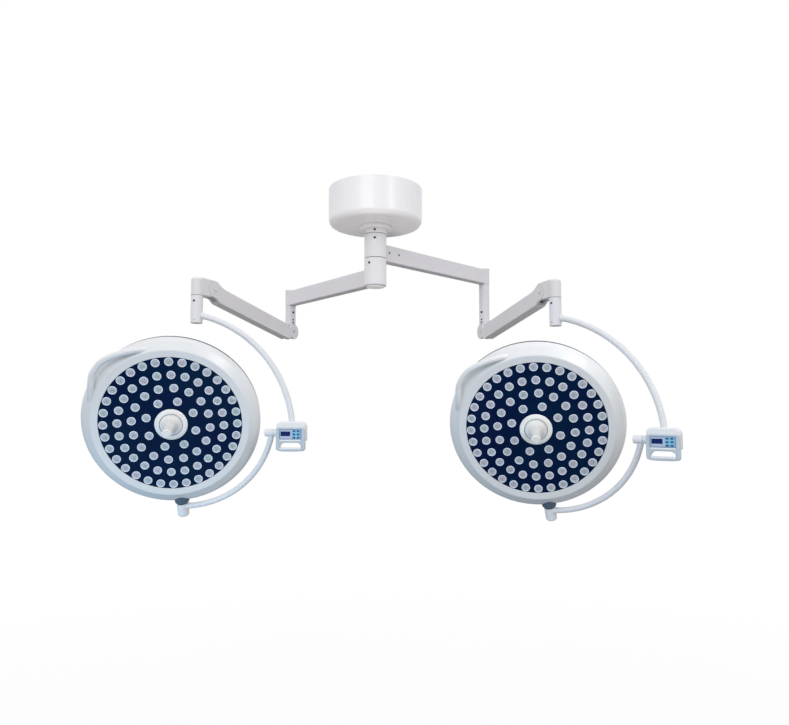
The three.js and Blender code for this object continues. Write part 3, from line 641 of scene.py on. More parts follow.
def box(x, y, z):
    """A plain cutting block from three (low, high) pairs."""
    outline = [(x[0], z[0]), (x[1], z[0]), (x[1], z[1]), (x[0], z[1])]
    return slab(outline, *y)


def moved(mesh, matrix):
    mesh.transform(matrix)
    return mesh


def copied(mesh, matrix):
    return moved(mesh.copy(), matrix)


def combine(operation, base, *others):
    """Exact boolean of closed meshes; the meshes given are used up."""
    scene = bpy.context.scene.collection
    holder = bpy.data.objects.new("base", base)
    scene.objects.link(holder)
    tools = []
    for other in others:
        tool = bpy.data.objects.new("tool", other)
        scene.objects.link(tool)
        modifier = holder.modifiers.new("boolean", "BOOLEAN")
        modifier.operation = operation
        modifier.solver = "EXACT"
        modifier.object = tool
        tools.append(tool)
    graph = bpy.context.evaluated_depsgraph_get()
    result = bpy.data.meshes.new_from_object(holder.evaluated_get(graph))
    for used in [holder, *tools]:
        mesh = used.data
        bpy.data.objects.remove(used)
        bpy.data.meshes.remove(mesh)
    builder = bmesh.new()
    builder.from_mesh(result)
    bmesh.ops.remove_doubles(builder, verts=builder.verts, dist=1e-3)
    bmesh.ops.dissolve_degenerate(builder, edges=builder.edges, dist=1e-4)
    builder.to_mesh(result)
    builder.free()
    return result


def fuse(*meshes):
    return combine("UNION", *meshes)


def cut(base, *tools):
    return combine("DIFFERENCE", base, *tools)


def gather(meshes):
    """Several closed meshes kept apart in one mesh."""
    builder = bmesh.new()
    for mesh in meshes:
        builder.from_mesh(mesh)
        bpy.data.meshes.remove(mesh)
    result = bpy.data.meshes.new("group")
    builder.to_mesh(result)
    builder.free()
    return result


# ---- local frames from the CAD joints

JOINTS = {joint["name"]: joint for joint in frame["joints"]}
UP = Vector((0, 0, 1))


def place_of(name):
    return Vector(JOINTS[name]["pos_m"])


def axis_of(name):
    return Vector(JOINTS[name]["axis"])


def local_frame(origin, x_axis, z_axis):
    x = Vector(x_axis).normalized()
    z = Vector(z_axis).normalized()
    turn = Matrix((x, z.cross(x), z)).transposed().to_4x4()
    return Matrix.Translation(origin) @ turn


def level(vector):
    return Vector((vector.x, vector.y, 0))


SHARP_ANGLE = math.radians(30)


def put(name, mesh, body, look, node=None, local=Matrix.Identity(4)):
    """Places a mesh drawn in millimetres, shades it and makes it ride on its body."""
    mesh.transform(local @ Matrix.Scale(MM, 4))
    mesh.shade_smooth()
    mesh.set_sharp_from_angle(angle=SHARP_ANGLE)
    mesh.materials.clear()
    mesh.materials.append(MATERIALS.get(look) or EXTRA[look])
    piece = bpy.data.objects.new(name, mesh)
    bpy.context.scene.collection.objects.link(piece)
    normals = piece.modifiers.new("normals", "WEIGHTED_NORMAL")
    normals.keep_sharp = True
    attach(piece, body)
    if node:
        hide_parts(node)


class Unit:
    """One light unit: its side, its lengths in millimetres and the local frames of its parts."""

    # frames that have no body of their own
    BODIES = {"box": "yoke", "roll": "yoke"}

    def __init__(self, side):
        self.side = side
        drop = level(place_of(self.name("drop_yaw")))
        lower = place_of(self.name("spring_pitch"))
        upper = place_of(self.name("knuckle_level"))
        along = upper - lower
        across = -axis_of(self.name("spring_pitch"))
        roll_place = place_of(self.name("yoke_roll"))
        roll = axis_of(self.name("yoke_roll"))
        swivel = axis_of(self.name("head_swivel"))
        depth = -axis_of(self.name("handle_turn"))
        spring = local_frame(lower, along, along.cross(across))
        yoke = local_frame(place_of(self.name("yoke_yaw")), roll, UP)
        head = local_frame(place_of(self.name("head_swivel")), depth.cross(swivel), swivel)
        self.arm_length = drop.length / MM
        self.spring_length = along.length / MM
        self.pivot_z = lower.z / MM
        self.frames = {
            "arm": local_frame((0, 0, 0), drop, UP),
            "drop": local_frame(drop, level(along), UP),
            "spring_arm": spring,
            "link": Matrix.Translation(place_of(self.name("link_pitch")) - lower) @ spring,
            "wrist": local_frame(upper, level(along), UP),
            "yoke": yoke,
            "box": yoke @ Matrix.Translation(Vector(BOX_CENTRE) * MM),
            "roll": local_frame(roll_place, roll, UP),
            "fork": local_frame(roll_place, roll, swivel),
            "head": head,
            "handle": head,
        }

    def name(self, piece):
        return f"{self.side}_{piece}"

    def heading(self, part):
        """The angle, in degrees, from the room's X axis to the frame's."""
        turn = self.frames[part]
        return math.degrees(math.atan2(turn[1][0], turn[0][0]))

    def put(self, name, mesh, part, look, node=None, body=None):
        """Puts a piece drawn in one part's frame on that part's body, or on another body."""
        body = body or self.BODIES.get(part, part)
        node = node and self.name(node)
        put(self.name(name), mesh, self.name(body), look, node, self.frames[part])


# ---- screws


def socket_screw(radius, height, socket):
    """A round screw head facing +Z with a hexagonal socket."""
    profile = rounded([(0, -3), (radius, -3), (radius, height, 0.6), (0, height)], closed=False, steps=3)
    head = lathe(profile, sides=SMALL)
    pocket = slab(circle(socket, sides=6), 0.15, height + 1, axis="Z")
    return cut(head, pocket)


def facing(x, y, z, direction):
    """A frame at a point, with its Z axis along an outward direction."""
    out = Vector(direction).normalized()
    return local_frame((x, y, z), out.orthogonal(), out)


def on_tube(radius, degrees, z):
    """A place on a round tube along Z, facing outwards."""
    x, y = polar(radius, degrees)
    return facing(x, y, z, (x, y, 0))


def screws(places, size=5.4, proud=0.9):
    head = socket_screw(size, proud, size * 0.5)
    return gather([copied(head, place) for place in places])


# ---- ceiling mount and hub


def ceiling_plate():
    bolts = [circle(PLATE_BOLT_HOLE, polar(PLATE_BOLT_CIRCLE, 30 + 60 * i), SMALL) for i in range(6)]
    holes = [*bolts, circle(CABLE_HOLE_RADIUS, (CABLE_HOLE_X, 0), SMALL * 2)]
    plate = slab(circle(PLATE_RADIUS, sides=FINE), -PLATE_THICKNESS, 0, 0.8, holes, "Z", 2)
    put("mounting_plate", plate, "ceiling_mount", "steel", "ceiling_plate")


def ceiling_cover():
    bottom = -COVER_HEIGHT
    inner = COVER_RADIUS - COVER_WALL
    profile = rounded([
        (inner, 0),
        (COVER_RADIUS, 0, 1.2),
        (COVER_RADIUS, bottom, COVER_CORNER),
        (COVER_HOLE_RADIUS, bottom, 1.0),
        (COVER_HOLE_RADIUS, bottom + COVER_WALL, 1.0),
        (inner, bottom + COVER_WALL, COVER_CORNER - COVER_WALL),
    ], steps=10)
    put("cover_shell", lathe(profile, sides=FINE), "ceiling_mount", "cover_white", "ceiling_cover")


def cover_ring():
    top = -COVER_HEIGHT - 0.3
    bottom = top - COLLAR_HEIGHT
    profile = rounded([
        (SLEEVE_BORE, top),
        (COLLAR_RADIUS, top, 1.0),
        (COLLAR_RADIUS - 0.5, top - 8.5, 2.5),
        (COLLAR_RADIUS - 13, bottom, 2.0),
        (SLEEVE_BORE, bottom),
    ])
    put("cover_ring", lathe(profile, sides=FINE), "ceiling_mount", "cover_white", "cover_collar")


def hub():
    """The fixed sleeve, the washers in the two seams, the spindle inside, the end cap and a screw."""
    top = -COVER_HEIGHT - COLLAR_HEIGHT - 0.6
    fixed = lathe(rounded([
        (SLEEVE_BORE, top),
        (SLEEVE_RADIUS, top, 1.0),
        (SLEEVE_RADIUS, SEAM_1_Z + SEAM_HALF, 1.0),
        (SLEEVE_BORE, SEAM_1_Z + SEAM_HALF),
    ]), sides=FINE)
    put("hub_upper_sleeve", fixed, "ceiling_mount", "hub_white", "hub_top_sleeve")
    half = SEAM_HALF - 0.1
    for number, z in ((1, SEAM_1_Z), (2, SEAM_2_Z)):
        ring = washer(SLEEVE_BORE, SLEEVE_RADIUS - 1.6, z + half, z - half, FINE)
        put(f"hub_thrust_washer_{number}", ring, "ceiling_mount", "seal")
    flange_top = -PLATE_THICKNESS - 0.3
    flange_bottom = flange_top - 12
    spindle = lathe([
        (SPINDLE_BORE, flange_top),
        (SPINDLE_FLANGE, flange_top),
        (SPINDLE_FLANGE, flange_bottom),
        (SPINDLE_RADIUS, flange_bottom),
        (SPINDLE_RADIUS, HUB_BOTTOM_Z),
        (SPINDLE_BORE, HUB_BOTTOM_Z),
    ])
    put("spindle", spindle, "ceiling_mount", "steel", "hub_spindle")
    cap_top = HUB_BOTTOM_Z - 0.3
    cap_bottom = cap_top - 4
    cap = rounded([(0, cap_top), (41, cap_top, 0.6), (38.5, cap_bottom, 2), (0, cap_bottom)], False)
    put("hub_end_cap", lathe(cap), "ceiling_mount", "hub_white", "hub_bottom_cap")
    screw = screws([on_tube(SLEEVE_RADIUS, -92, SEAM_1_Z + 12.5)])
    put("hub_fixed_screw", screw, "ceiling_mount", "screw_dark")


# ---- extension arm and drop tube


def extension_arm(unit):
    """Hub sleeve, beam and end housing in one, bored for the spindle and the drop tube's spigot."""
    z = ARM_LEVEL[unit.side]
    half = ARM_HEIGHT / 2
    length = unit.arm_length
    lower = unit.side == "left"
    top = (SEAM_2_Z if lower else SEAM_1_Z) - SEAM_HALF
    bottom = HUB_BOTTOM_Z if lower else SEAM_2_Z + SEAM_HALF
    corners = (1.0, 6.0 if lower else 1.0)
    collar = plug(SLEEVE_RADIUS, top, bottom, sides=FINE, corners=corners)
    section = rectangle(ARM_WIDTH, ARM_HEIGHT, ARM_CORNER, (0, z))
    beam = slab(section, SLEEVE_BORE + 6, length, axis="X")
    crown = z + half + HOUSING_CAP
    housing = lathe(rounded([
        (0, crown),
        (HOUSING_RADIUS + 1, crown, 2.5),
        (HOUSING_RADIUS + 1, crown - 4.5, 0.6),
        (HOUSING_RADIUS, crown - 5.2),
        (HOUSING_RADIUS, z - half, 0.8),
        (0, z - half),
    ], False), centre=(length, 0))
    bore = plug(SLEEVE_BORE, top + 9, bottom - 9)
    spigot_top = z - half + SPIGOT_LENGTH + 4
    socket = plug(SPIGOT_RADIUS + 0.8, spigot_top, z - half - 9, sides=SMALL, centre=(length, 0))
    tools = [bore, socket]
    if not lower:
        tools.append(plug(SLEEVE_RADIUS + 1, bottom, bottom - 40, sides=FINE))
    arm = cut(fuse(collar, beam, housing), *tools)
    unit.put("arm_beam", arm, "arm", "arm_paint", "extension_arm")


def arm_screws(unit):
    """The hub brake screw of each arm's sleeve, and the upper arm's two cable-cover screws."""
    angle, z = {"left": (-122, SEAM_2_Z - 24), "right": (-92, SEAM_1_Z - 23)}[unit.side]
    brake = on_tube(SLEEVE_RADIUS, angle - unit.heading("arm"), z)
    unit.put("hub_brake_screw", screws([brake]), "arm", "screw_dark")
    if unit.side == "right":
        level_z = ARM_LEVEL["right"] + 4
        spots = [facing(x, -ARM_WIDTH / 2, level_z, (0, -1, 0)) for x in (64, 124)]
        unit.put("arm_cover_screws", screws(spots, 4.4), "arm", "screw_dark")


def drop_tube(unit):
    """Spigot, tube and pivot lug in one, with a brake screw and two stop screws."""
    shoulder = ARM_LEVEL[unit.side] - ARM_HEIGHT / 2 - 0.6
    pivot = unit.pivot_z
    column = lathe(rounded([
        (0, shoulder + SPIGOT_LENGTH),
        (SPIGOT_RADIUS, shoulder + SPIGOT_LENGTH, 1),
        (SPIGOT_RADIUS, shoulder),
        (TUBE_RADIUS, shoulder, 1.2),
        (TUBE_RADIUS, pivot),
        (0, pivot),
    ], False))
    saddle = plug(SADDLE_RADIUS, -40, 40, "Y", FINE, (0, pivot))
    tube_and_lug = fuse(cut(column, saddle), tongue(pivot, 46))
    unit.put("drop_column", tube_and_lug, "drop", "arm_paint", "drop_tube")
    inward = 40 if unit.side == "left" else -40
    angle = -90 + inward - unit.heading("drop")
    spots = [on_tube(TUBE_RADIUS, angle, pivot + z) for z in DROP_SCREW_HEIGHTS]
    unit.put("drop_brake_screw", screws(spots[:1], 5.6), "drop", "screw_dark")
    unit.put("drop_stop_screws", screws(spots[1:], 4.2), "drop", "screw_dark")


def tongue(pivot, height):
    """The flat lug between a fork's ears, its bore open for the pivot pin."""
    outline = rounded([
        (-15, pivot + height),
        (-15, pivot + 4, 20),
        (-9, pivot - 33, 7),
        (9, pivot - 33, 7),
        (15, pivot + 4, 20),
        (15, pivot + height),
    ])
    hole = circle(PIN_RADIUS + 0.6, (0, pivot), SMALL)
    link_pin = circle(3.6, (0, pivot - LINK_DROP), SMALL)
    lug = slab(outline, -TONGUE_HALF, 0, 0.6, [hole], steps=2)
    boss = slab(circle(12.5, (0, pivot)), 0, TONGUE_HALF, 0.6, [hole], steps=2)
    return fuse(lug, moved(boss, Matrix.Translation((0, -0.6, 0))), slab(link_pin, -5, LINK_Y + 5))


# ---- spring arm


def spring_arm(unit):
    """The hollow casing with a forked ear at both ends."""
    end = unit.spring_length
    half = CASING_HALF
    outline = arc((0, 0), EAR_RADIUS, 6, 298, 48)
    chin = [(20, -36), (33, CASING_BOTTOM, 16), (end - 46, CASING_BOTTOM, 30), (end - 14, -35)]
    outline += rounded(chin, closed=False)[1:-1]
    outline += arc((end, 0), EAR_RADIUS, 248, 482, 42)
    brow = [(end - 20, 32), (end - 40, 25, 30), (end - 62, CASING_TOP, 40), (56, CASING_TOP, 16), (37.8, 4)]
    outline += rounded(brow, closed=False)[1:-1]
    holes = [circle(PIN_RADIUS + 0.5, (x, 0), SMALL) for x in (0, end)]
    casing = slab(outline, -half, half, 2.6, holes)
    slot = FORK_SLOT / 2
    wall = CASING_WALL
    inside = (CASING_BOTTOM + wall, CASING_TOP - wall)
    casing = cut(
        casing,
        box((-60, FORK_DEPTH), (-slot, slot), (-80, 80)),
        box((end - FORK_DEPTH, end + 60), (-slot, slot), (-80, 80)),
        box((FORK_DEPTH + 5, end - FORK_DEPTH - 5), (wall - half, half - wall), inside),
        box((FORK_DEPTH - 9, end - FORK_DEPTH + 9), (-wall, slot), (-34, -12)),
    )
    unit.put("spring_housing", casing, "spring_arm", "arm_paint", "spring_arm_casing")


def spring_and_pins(unit):
    """The balance spring inside the casing, and the two pins with centre-drilled ends."""
    end = unit.spring_length
    turns, points, inset, radius = 22, 14, 130, 9
    coil = [(
        inset + (end - 2 * inset) * i / (turns * points),
        radius * math.cos(2 * math.pi * i / points),
        3 + radius * math.sin(2 * math.pi * i / points),
    ) for i in range(turns * points + 1)]
    unit.put("balance_coil", tube(coil, 2, 8), "spring_arm", "steel", "balance_spring")
    face = CASING_HALF - 0.4
    for name, x in (("lower", 0), ("upper", end)):
        pin = plug(PIN_RADIUS, -face, face, "Y", SMALL, (x, 0), (0.8, 0.8))
        dimples = [plug(1.6, y - 2, y + 2, "Y", 16, (x, 0)) for y in (-face, face)]
        unit.put(f"{name}_pin", cut(pin, *dimples), "spring_arm", "steel", f"{name}_pivot_pin")


def link_rod(unit):
    """The parallelogram's second bar, with an eye at both ends."""
    end = unit.spring_length
    low, high = LINK_Y - 4, LINK_Y + 4
    eyes = [slab(circle(8, (x, 0), 32), low, high, 0.6, steps=2) for x in (0, end)]
    rod = plug(4, 4, end - 4, "X", SMALL, (LINK_Y, 0))
    holes = [slab(circle(4.6, (x, 0), SMALL), low - 3, high + 3) for x in (0, end)]
    unit.put("parallel_rod", cut(fuse(rod, *eyes), *holes), "link", "steel", "link_rod")


# ---- knuckle, yaw bearing and upper yoke


def knuckle(unit):
    """A domed barrel and a web over the spring arm's ears, with the tongue between them."""
    top, bottom = KNUCKLE_TOP, KNUCKLE_BOTTOM
    yaw_centre = (YAW_OFFSET, 0)
    crown = plug(YAW_RADIUS, top, bottom, centre=yaw_centre, corners=(19, 0.8), steps=9)
    web_half = YAW_RADIUS - 0.4
    side = rounded([(8, top), (8, -22), (24, bottom, 4), (YAW_OFFSET, bottom), (YAW_OFFSET, top)])
    web = slab(side, -web_half, web_half, 5.0, steps=5)
    clearance = plug(SADDLE_RADIUS, -40, 40, "Y", FINE)
    spigot_room = plug(YAW_SPIGOT + 0.8, -4, bottom - 9, sides=SMALL, centre=yaw_centre)
    block = cut(fuse(crown, web), clearance)
    neck = box((0, 46), (-TONGUE_HALF, TONGUE_HALF), (-11, 11))
    hole = slab(circle(PIN_RADIUS + 0.6, sides=SMALL), -30, 30)
    whole = cut(fuse(block, neck, tongue(0, 9)), spigot_room, hole)
    unit.put("v_head", whole, "wrist", "hub_white", "knuckle")


def yaw_bearing(unit):
    """The barrel under the knuckle, its dark washer and its two screws."""
    top = KNUCKLE_BOTTOM - 1.6
    barrel = lathe(rounded([
        (0, -8),
        (YAW_SPIGOT, -8, 1),
        (YAW_SPIGOT, top),
        (YAW_RADIUS, top, 0.8),
        (YAW_RADIUS, YAW_BOTTOM, 4.0),
        (0, YAW_BOTTOM),
    ], False))
    unit.put("yaw_barrel", barrel, "yoke", "hub_white", "yaw_bearing")
    ring = washer(YAW_SPIGOT + 0.2, YAW_RADIUS - 1, top + 1.4, top + 0.1)
    unit.put("yaw_washer", ring, "yoke", "gasket")
    angle = -90 - unit.heading("yoke") - (12 if unit.side == "left" else 54)
    brake = on_tube(YAW_RADIUS, angle, top - 24)
    unit.put("yaw_brake_screw", screws([brake], 4.8), "yoke", "screw_dark")
    small = on_tube(YAW_RADIUS, angle + 4, YAW_BOTTOM + 14)
    unit.put("yaw_set_screw", screws([small], 2.2, 0.3), "yoke", "screw_dark")


def upper_yoke(unit):
    """One long arc out of the yaw barrel, turning straight down into the control box."""
    path = [(x, 0, z) for x, z in arc(UPPER_YOKE_CENTRE, UPPER_YOKE_RADIUS, 76.6, 7.6, 60)]
    box_top = BOX_CENTRE[2] + BOX_HEIGHT / 2
    path.append((BOX_CENTRE[0], 0, box_top - 3))
    flare = [UPPER_TUBE_RADIUS + 3.0 * max(0.0, 1 - i / 2.2) ** 2 for i in range(len(path))]
    unit.put("yoke_tube", tube(path, flare), "yoke", "yoke_paint", "upper_yoke")


# ---- control box


def grip_opening():
    """The grip's opening: domed above, flat with small corners below."""
    x = GRIP_WIDTH / 2
    return rounded([
        (-x, GRIP_BOTTOM, 4),
        (x, GRIP_BOTTOM, 4),
        (x, GRIP_BOTTOM + 10, 6),
        (x - 12, GRIP_TOP, 12),
        (12 - x, GRIP_TOP, 12),
        (-x, GRIP_BOTTOM + 10, 6),
    ], steps=6)


def box_housing(unit):
    """The white rear cover: deep behind the panel, thin around the grip."""
    half = BOX_DEPTH / 2
    x, z = BOX_WIDTH / 2 - 1.5, BOX_HEIGHT / 2
    split = FRAME_DEPTH + 0.4 - half
    low = rounded([(-x, 2 - z, 13), (x, 2 - z, 13), (x, 4), (-x, 4)], steps=10)
    thin = slab(low, split, GRIP_FRAME_DEPTH - half, 3.0, [grip_opening()], steps=4)
    high = rounded([(-x, GRIP_FRAME_TOP, 8), (x, GRIP_FRAME_TOP, 8), (x, z, 26), (-x, z, 26)], steps=12)
    deep = slab(high, split, half, 7.0, steps=6)
    dome = rounded([(-x, 20, 2), (x, 20, 2), (x, z, 26), (-x, z, 26)], steps=12)
    crown = slab(dome, 5.5 - half, half - 8, 7.0, steps=6)
    roll_axis = (0, BOX_BELOW_ROLL)
    boss_start = ROLL_BOSS_START - GIMBAL_OFFSET - BOX_CENTRE[0]
    boss = plug(ROLL_SLEEVE_RADIUS, boss_start, 12 - x, "X", ROUND, roll_axis, (1.5, 0))
    socket = slab(circle(UPPER_TUBE_RADIUS + 0.4), z - 4, z + 9, axis="Z")
    shaft = plug(ROLL_SHAFT_RADIUS + 0.6, -95, -42, "X", SMALL, roll_axis)
    cover = cut(fuse(thin, deep, crown, boss), socket, shaft)
    unit.put("box_rear_cover", cover, "box", "box_white", "control_box")
    corners = [(side, height) for side in (-50, 50) for height in (-8, 36)]
    spots = [facing(side, half - 0.2, height, (0, 1, 0)) for side, height in corners]
    unit.put("box_rear_screws", screws(spots, 3.4, 0.6), "box", "steel")


def control_box(unit):
    """Blue-grey front frame with a panel recess, two ribbed columns and a grip bar."""
    half = BOX_DEPTH / 2
    x, z = BOX_WIDTH / 2 - 1, BOX_HEIGHT / 2
    edge = rounded([
        (-x, FRAME_TOP, 11),
        (-x, 9 - z, 9),
        (9 - x, 3.5 - z, 5),
        (-30, 0.6 - z, 60),
        (30, 0.6 - z, 60),
        (x - 9, 3.5 - z, 5),
        (x, 9 - z, 9),
        (x, FRAME_TOP, 11),
    ], steps=8)
    front = slab(edge, 0.4 - half, FRAME_DEPTH - half, 3.2, [grip_opening()], steps=5)
    window = rectangle(PANEL_WIDTH, PANEL_HEIGHT, 2.5, (0, PANEL_Z))
    recess = slab(window, -half - 5, PANEL_RECESS - half)
    columns = ((-48.4, -46.8), (46.8, 48.4))
    grooves = [box(x_span, (-half - 5, 1.6 - half), (3 - z, FRAME_TOP - 7)) for x_span in columns]
    lip = box((-46, 46), (-half - 5, 1.2 - half), (GRIP_BOTTOM - 9.4, GRIP_BOTTOM - 8.2))
    unit.put("box_front_frame", cut(front, recess, *grooves, lip), "box", "box_plastic")
    sill = rectangle(PANEL_WIDTH - 1, 6.2, 2.2, (0, PANEL_Z - PANEL_HEIGHT / 2 - 4.0))
    unit.put("panel_sill", slab(sill, -half - 0.9, 1 - half, 0.8), "box", "box_white")
    bar = rectangle(GRIP_WIDTH + 3, 7.4, 3.4, (0, GRIP_BOTTOM - 4.0), 8)
    bar = slab(bar, -half - 0.8, 3 - half, 1.6, steps=4)
    unit.put("grip_bar_cap", bar, "box", "box_white")


def control_panel(unit):
    """Overlay film with a display window and a keypad field; each key rides on its own body."""
    front = 0.3 - BOX_DEPTH / 2
    width, height = PANEL_WIDTH - 0.8, PANEL_HEIGHT - 0.8
    outer = rectangle(width, height, 2.2, (0, PANEL_Z))
    inner = rectangle(width - 6, height - 5.5, 1.2, (0, PANEL_Z))
    border = slab(outer, front, front + 2.2, 0.4, [inner], steps=2)
    unit.put("panel_border", border, "box", "panel_edge")
    field = rectangle(width - 6.4, height - 5.9, 1.0, (0, PANEL_Z))
    window = rectangle(SCREEN_WIDTH, SCREEN_HEIGHT, 1.0, (SCREEN_X, SCREEN_Z + PANEL_Z))
    keys = [(x, z + PANEL_Z) for z in KEY_ROWS for x in KEY_COLUMNS]
    wells = [rectangle(KEY_WIDTH + 0.8, KEY_HEIGHT + 0.8, 1.6, place) for place in keys]
    pad = rectangle(35.4, height - 6.6, 1.6, (24.6, PANEL_Z))
    film = slab(field, front + 0.5, front + 2.2, 0.0, [window, pad])
    unit.put("panel_overlay", film, "box", "panel_film", "control_panel")
    pad = slab(shifted(pad, 0.15), front + 0.35, front + 2.2, 0.3, wells, steps=2)
    unit.put("keypad_overlay", pad, "box", "keypad_film")
    glass = slab(shifted(window, 0.1), front + 0.8, front + 2.1, 0.25, steps=2)
    unit.put("display_window", glass, "box", "display")
    for number, place in enumerate(keys, 1):
        outline = rectangle(KEY_WIDTH, KEY_HEIGHT, 1.6, place)
        cap = slab(outline, front - 1.3, front + 1.5, 0.9, steps=4)
        unit.put(f"key_cap_{number}", cap, "box", "key_plastic", f"button_{number}", f"key_{number}")


# ---- roll shaft and lower yoke


def lower_yoke(unit):
    """The sleeve on the roll shaft, the lower arc and the cup under the head, in one, and the shaft."""
    start, end = ROLL_SLEEVE
    radius = ROLL_SLEEVE_RADIUS
    barrel = lathe(rounded([
        (0, start),
        (radius, start, 3.0),
        (radius, end - 9),
        (radius - 0.8, end - 8.6),
        (radius - 0.8, end - 7.4),
        (radius, end - 7),
        (radius, end, 1.2),
        (0, end),
    ], False, 4), "X")
    steps = 60
    path = [(x, 0, z) for x, z in arc(LOWER_YOKE_CENTRE, LOWER_YOKE_RADIUS, -14.5, -86.9, steps)]
    flare = [LOWER_TUBE_RADIUS + 3.5 * max(0.0, 1 - (steps - i) / 4.5) ** 2 for i in range(steps + 1)]
    cup = plug(CUP_RADIUS, CUP_TOP, CUP_BOTTOM, corners=(1.5, 8.0), steps=7)
    shaft_room = plug(ROLL_SHAFT_RADIUS + 0.7, start - 9, end + 9, "X", SMALL)
    stem_room = plug(STEM_RADIUS + 0.5, CUP_BOTTOM + 16, CUP_TOP + 9, sides=SMALL)
    flush_end = box((end, end + 20), (-30, 30), (-30, 30))
    fork = cut(fuse(tube(path, flare), barrel, cup), shaft_room, stem_room, flush_end)
    unit.put("fork_tube", fork, "fork", "yoke_paint", "lower_yoke")
    in_box = BOX_CENTRE[0] + GIMBAL_OFFSET - BOX_WIDTH / 2 + 15
    pin = plug(ROLL_SHAFT_RADIUS, start + 2, in_box, "X", SMALL, corners=(1, 1))
    unit.put("roll_pin", pin, "roll", "steel", "roll_shaft")


# ---- lamp head


def rear_profile():
    """The rear shell's outer form, from the rim to the middle of the back."""
    return rounded([
        (HEAD_RADIUS - 1.6, RIM_BAND_Y, 1.5),
        (350, RIM_BAND_Y + 6, 12),
        (300, 41.6, 40),
        (296, 40.4, 2),
        (290, 43, 2),
        (152, 51.7, 60),
        (148, 50.2, 2),
        (142, 52.2, 2),
        (0, 54.8),
    ], False, 6)


def rear_shell(unit):
    """The domed back, its raised ribs and the ring of screws near its edge."""
    outer = rear_profile()
    inner = [(0, 51.5), (140, 49), (288, 39), (345, RIM_BAND_Y + 3), (HEAD_RADIUS - 5, RIM_BAND_Y)]
    shell = lathe([*outer[::-1], *inner[::-1]], "Y", FINE)
    unit.put("back_cover", shell, "head", "head_white", "rear_shell")
    middle = 218
    slope = Matrix.Rotation(math.atan2(51.7 - 43.0, 290 - 152), 4, "Y")
    lifted = Matrix.Translation((middle, 0, 46.6))
    tilt = lifted @ slope @ Matrix.Translation((-middle, 0, 0))
    outline = rectangle(112, 5, 2.4, (middle, 0), 5)
    ribs = []
    for k in range(24):
        rib = slab(outline, 0, 3.2, 1.4, axis="Z", steps=4)
        ribs.append(moved(rib, Matrix.Rotation(math.radians(15 * k + 7.5), 4, "Z") @ tilt))
    to_back = Matrix.Rotation(math.radians(-90), 4, "X")
    unit.put("back_ribs", moved(gather(ribs), to_back), "head", "head_white")
    reach, lean = 328, 0.25
    places = [polar(reach, 30 * k + 15) for k in range(12)]
    spots = [facing(x, 35.1, z, (x * lean / reach, 1, z * lean / reach)) for x, z in places]
    unit.put("back_screws", screws(spots, 4.2, 0.8), "head", "steel")


def front_bezel(unit):
    """The white front ring and a dark band round the rim between it and the back."""
    lip = DISC_RADIUS + 0.6
    profile = rounded([
        (lip, DISC_Y + 3),
        (lip, LIP_Y + 0.6, 1.2),
        (LIP_RADIUS - 3, LIP_Y, 2.5),
        (LIP_RADIUS + 1, LIP_Y + 1.2, 4),
        (346, -23, 9),
        (HEAD_RADIUS, -4, 4),
        (HEAD_RADIUS, SEAM_Y - 1.5, 1.2),
        (HEAD_RADIUS - 5, SEAM_Y - 1.5),
        (342, -18, 8),
        (LIP_RADIUS - 2, LIP_Y + 4, 3),
        (lip + 4, DISC_Y + 3),
    ])
    unit.put("bezel_ring", lathe(profile, "Y", FINE), "head", "head_white", "front_bezel")
    # a dark band round the rim, between the bezel and the back
    gasket = lathe(rounded([
        (HEAD_RADIUS - 5, SEAM_Y - 1.4),
        (HEAD_RADIUS - 1.3, SEAM_Y - 1.4, 0.8),
        (HEAD_RADIUS - 1.3, RIM_BAND_Y - 0.1, 1.6),
        (HEAD_RADIUS - 5, RIM_BAND_Y - 0.1),
    ]), "Y", FINE)
    unit.put("rim_gasket", gasket, "head", "gasket")


def front_plate(unit):
    back = DISC_Y + 6
    profile = rounded([
        (SOCKET_RADIUS, DISC_Y),
        (DISC_RADIUS, DISC_Y, 0.6),
        (DISC_RADIUS, back),
        (SOCKET_RADIUS, back),
    ])
    unit.put("front_plate", lathe(profile, "Y", FINE), "head", "led_disc", "led_plate")


LENS_PROFILE = rounded([
    (0, -1.7),
    (3.2, -1.5, 1),
    (4.6, -0.5, 1),
    (9.5, -1.3, 2),
    (10.6, -0.7, 0.5),
    (13.6, -0.9, 0.5),
    (14.6, -1.9, 0.8),
    (16.4, -2.1, 0.8),
    (LENS_RADIUS, -0.9, 1),
    (LENS_RADIUS, 1.2),
    (0, 1.2),
], False, 2)


def lenses(unit, dice):
    """All collimator lenses in one mesh, each point knowing its place on its own lens."""
    vertices = []
    faces = []
    marks = {"lens_radius": [], "lens_turn": [], "lens_tint": []}
    for ring_radius, count, phase in LENS_RINGS:
        for k in range(count):
            centre = polar(ring_radius, phase + LENS_SPIN[unit.side] + 360 * k / count)
            lens = lathe(LENS_PROFILE, "Y", 28)
            tint = dice.random()
            spin = dice.uniform(0, 2 * math.pi)
            start = len(vertices)
            for vertex in lens.vertices:
                x, y, z = vertex.co
                vertices.append((centre[0] + x, DISC_Y + y, centre[1] + z))
                marks["lens_radius"].append(math.hypot(x, z) / LENS_RADIUS)
                marks["lens_turn"].append(math.atan2(z, x) + math.pi + spin)
                marks["lens_tint"].append(tint)
            faces += [[start + corner for corner in face.vertices] for face in lens.polygons]
            bpy.data.meshes.remove(lens)
    mesh = bpy.data.meshes.new("lenses")
    mesh.from_pydata(vertices, [], faces)
    for name, values in marks.items():
        mesh.attributes.new(name, "FLOAT", "POINT").data.foreach_set("value", values)
    unit.put("lenses", mesh, "head", "lens")


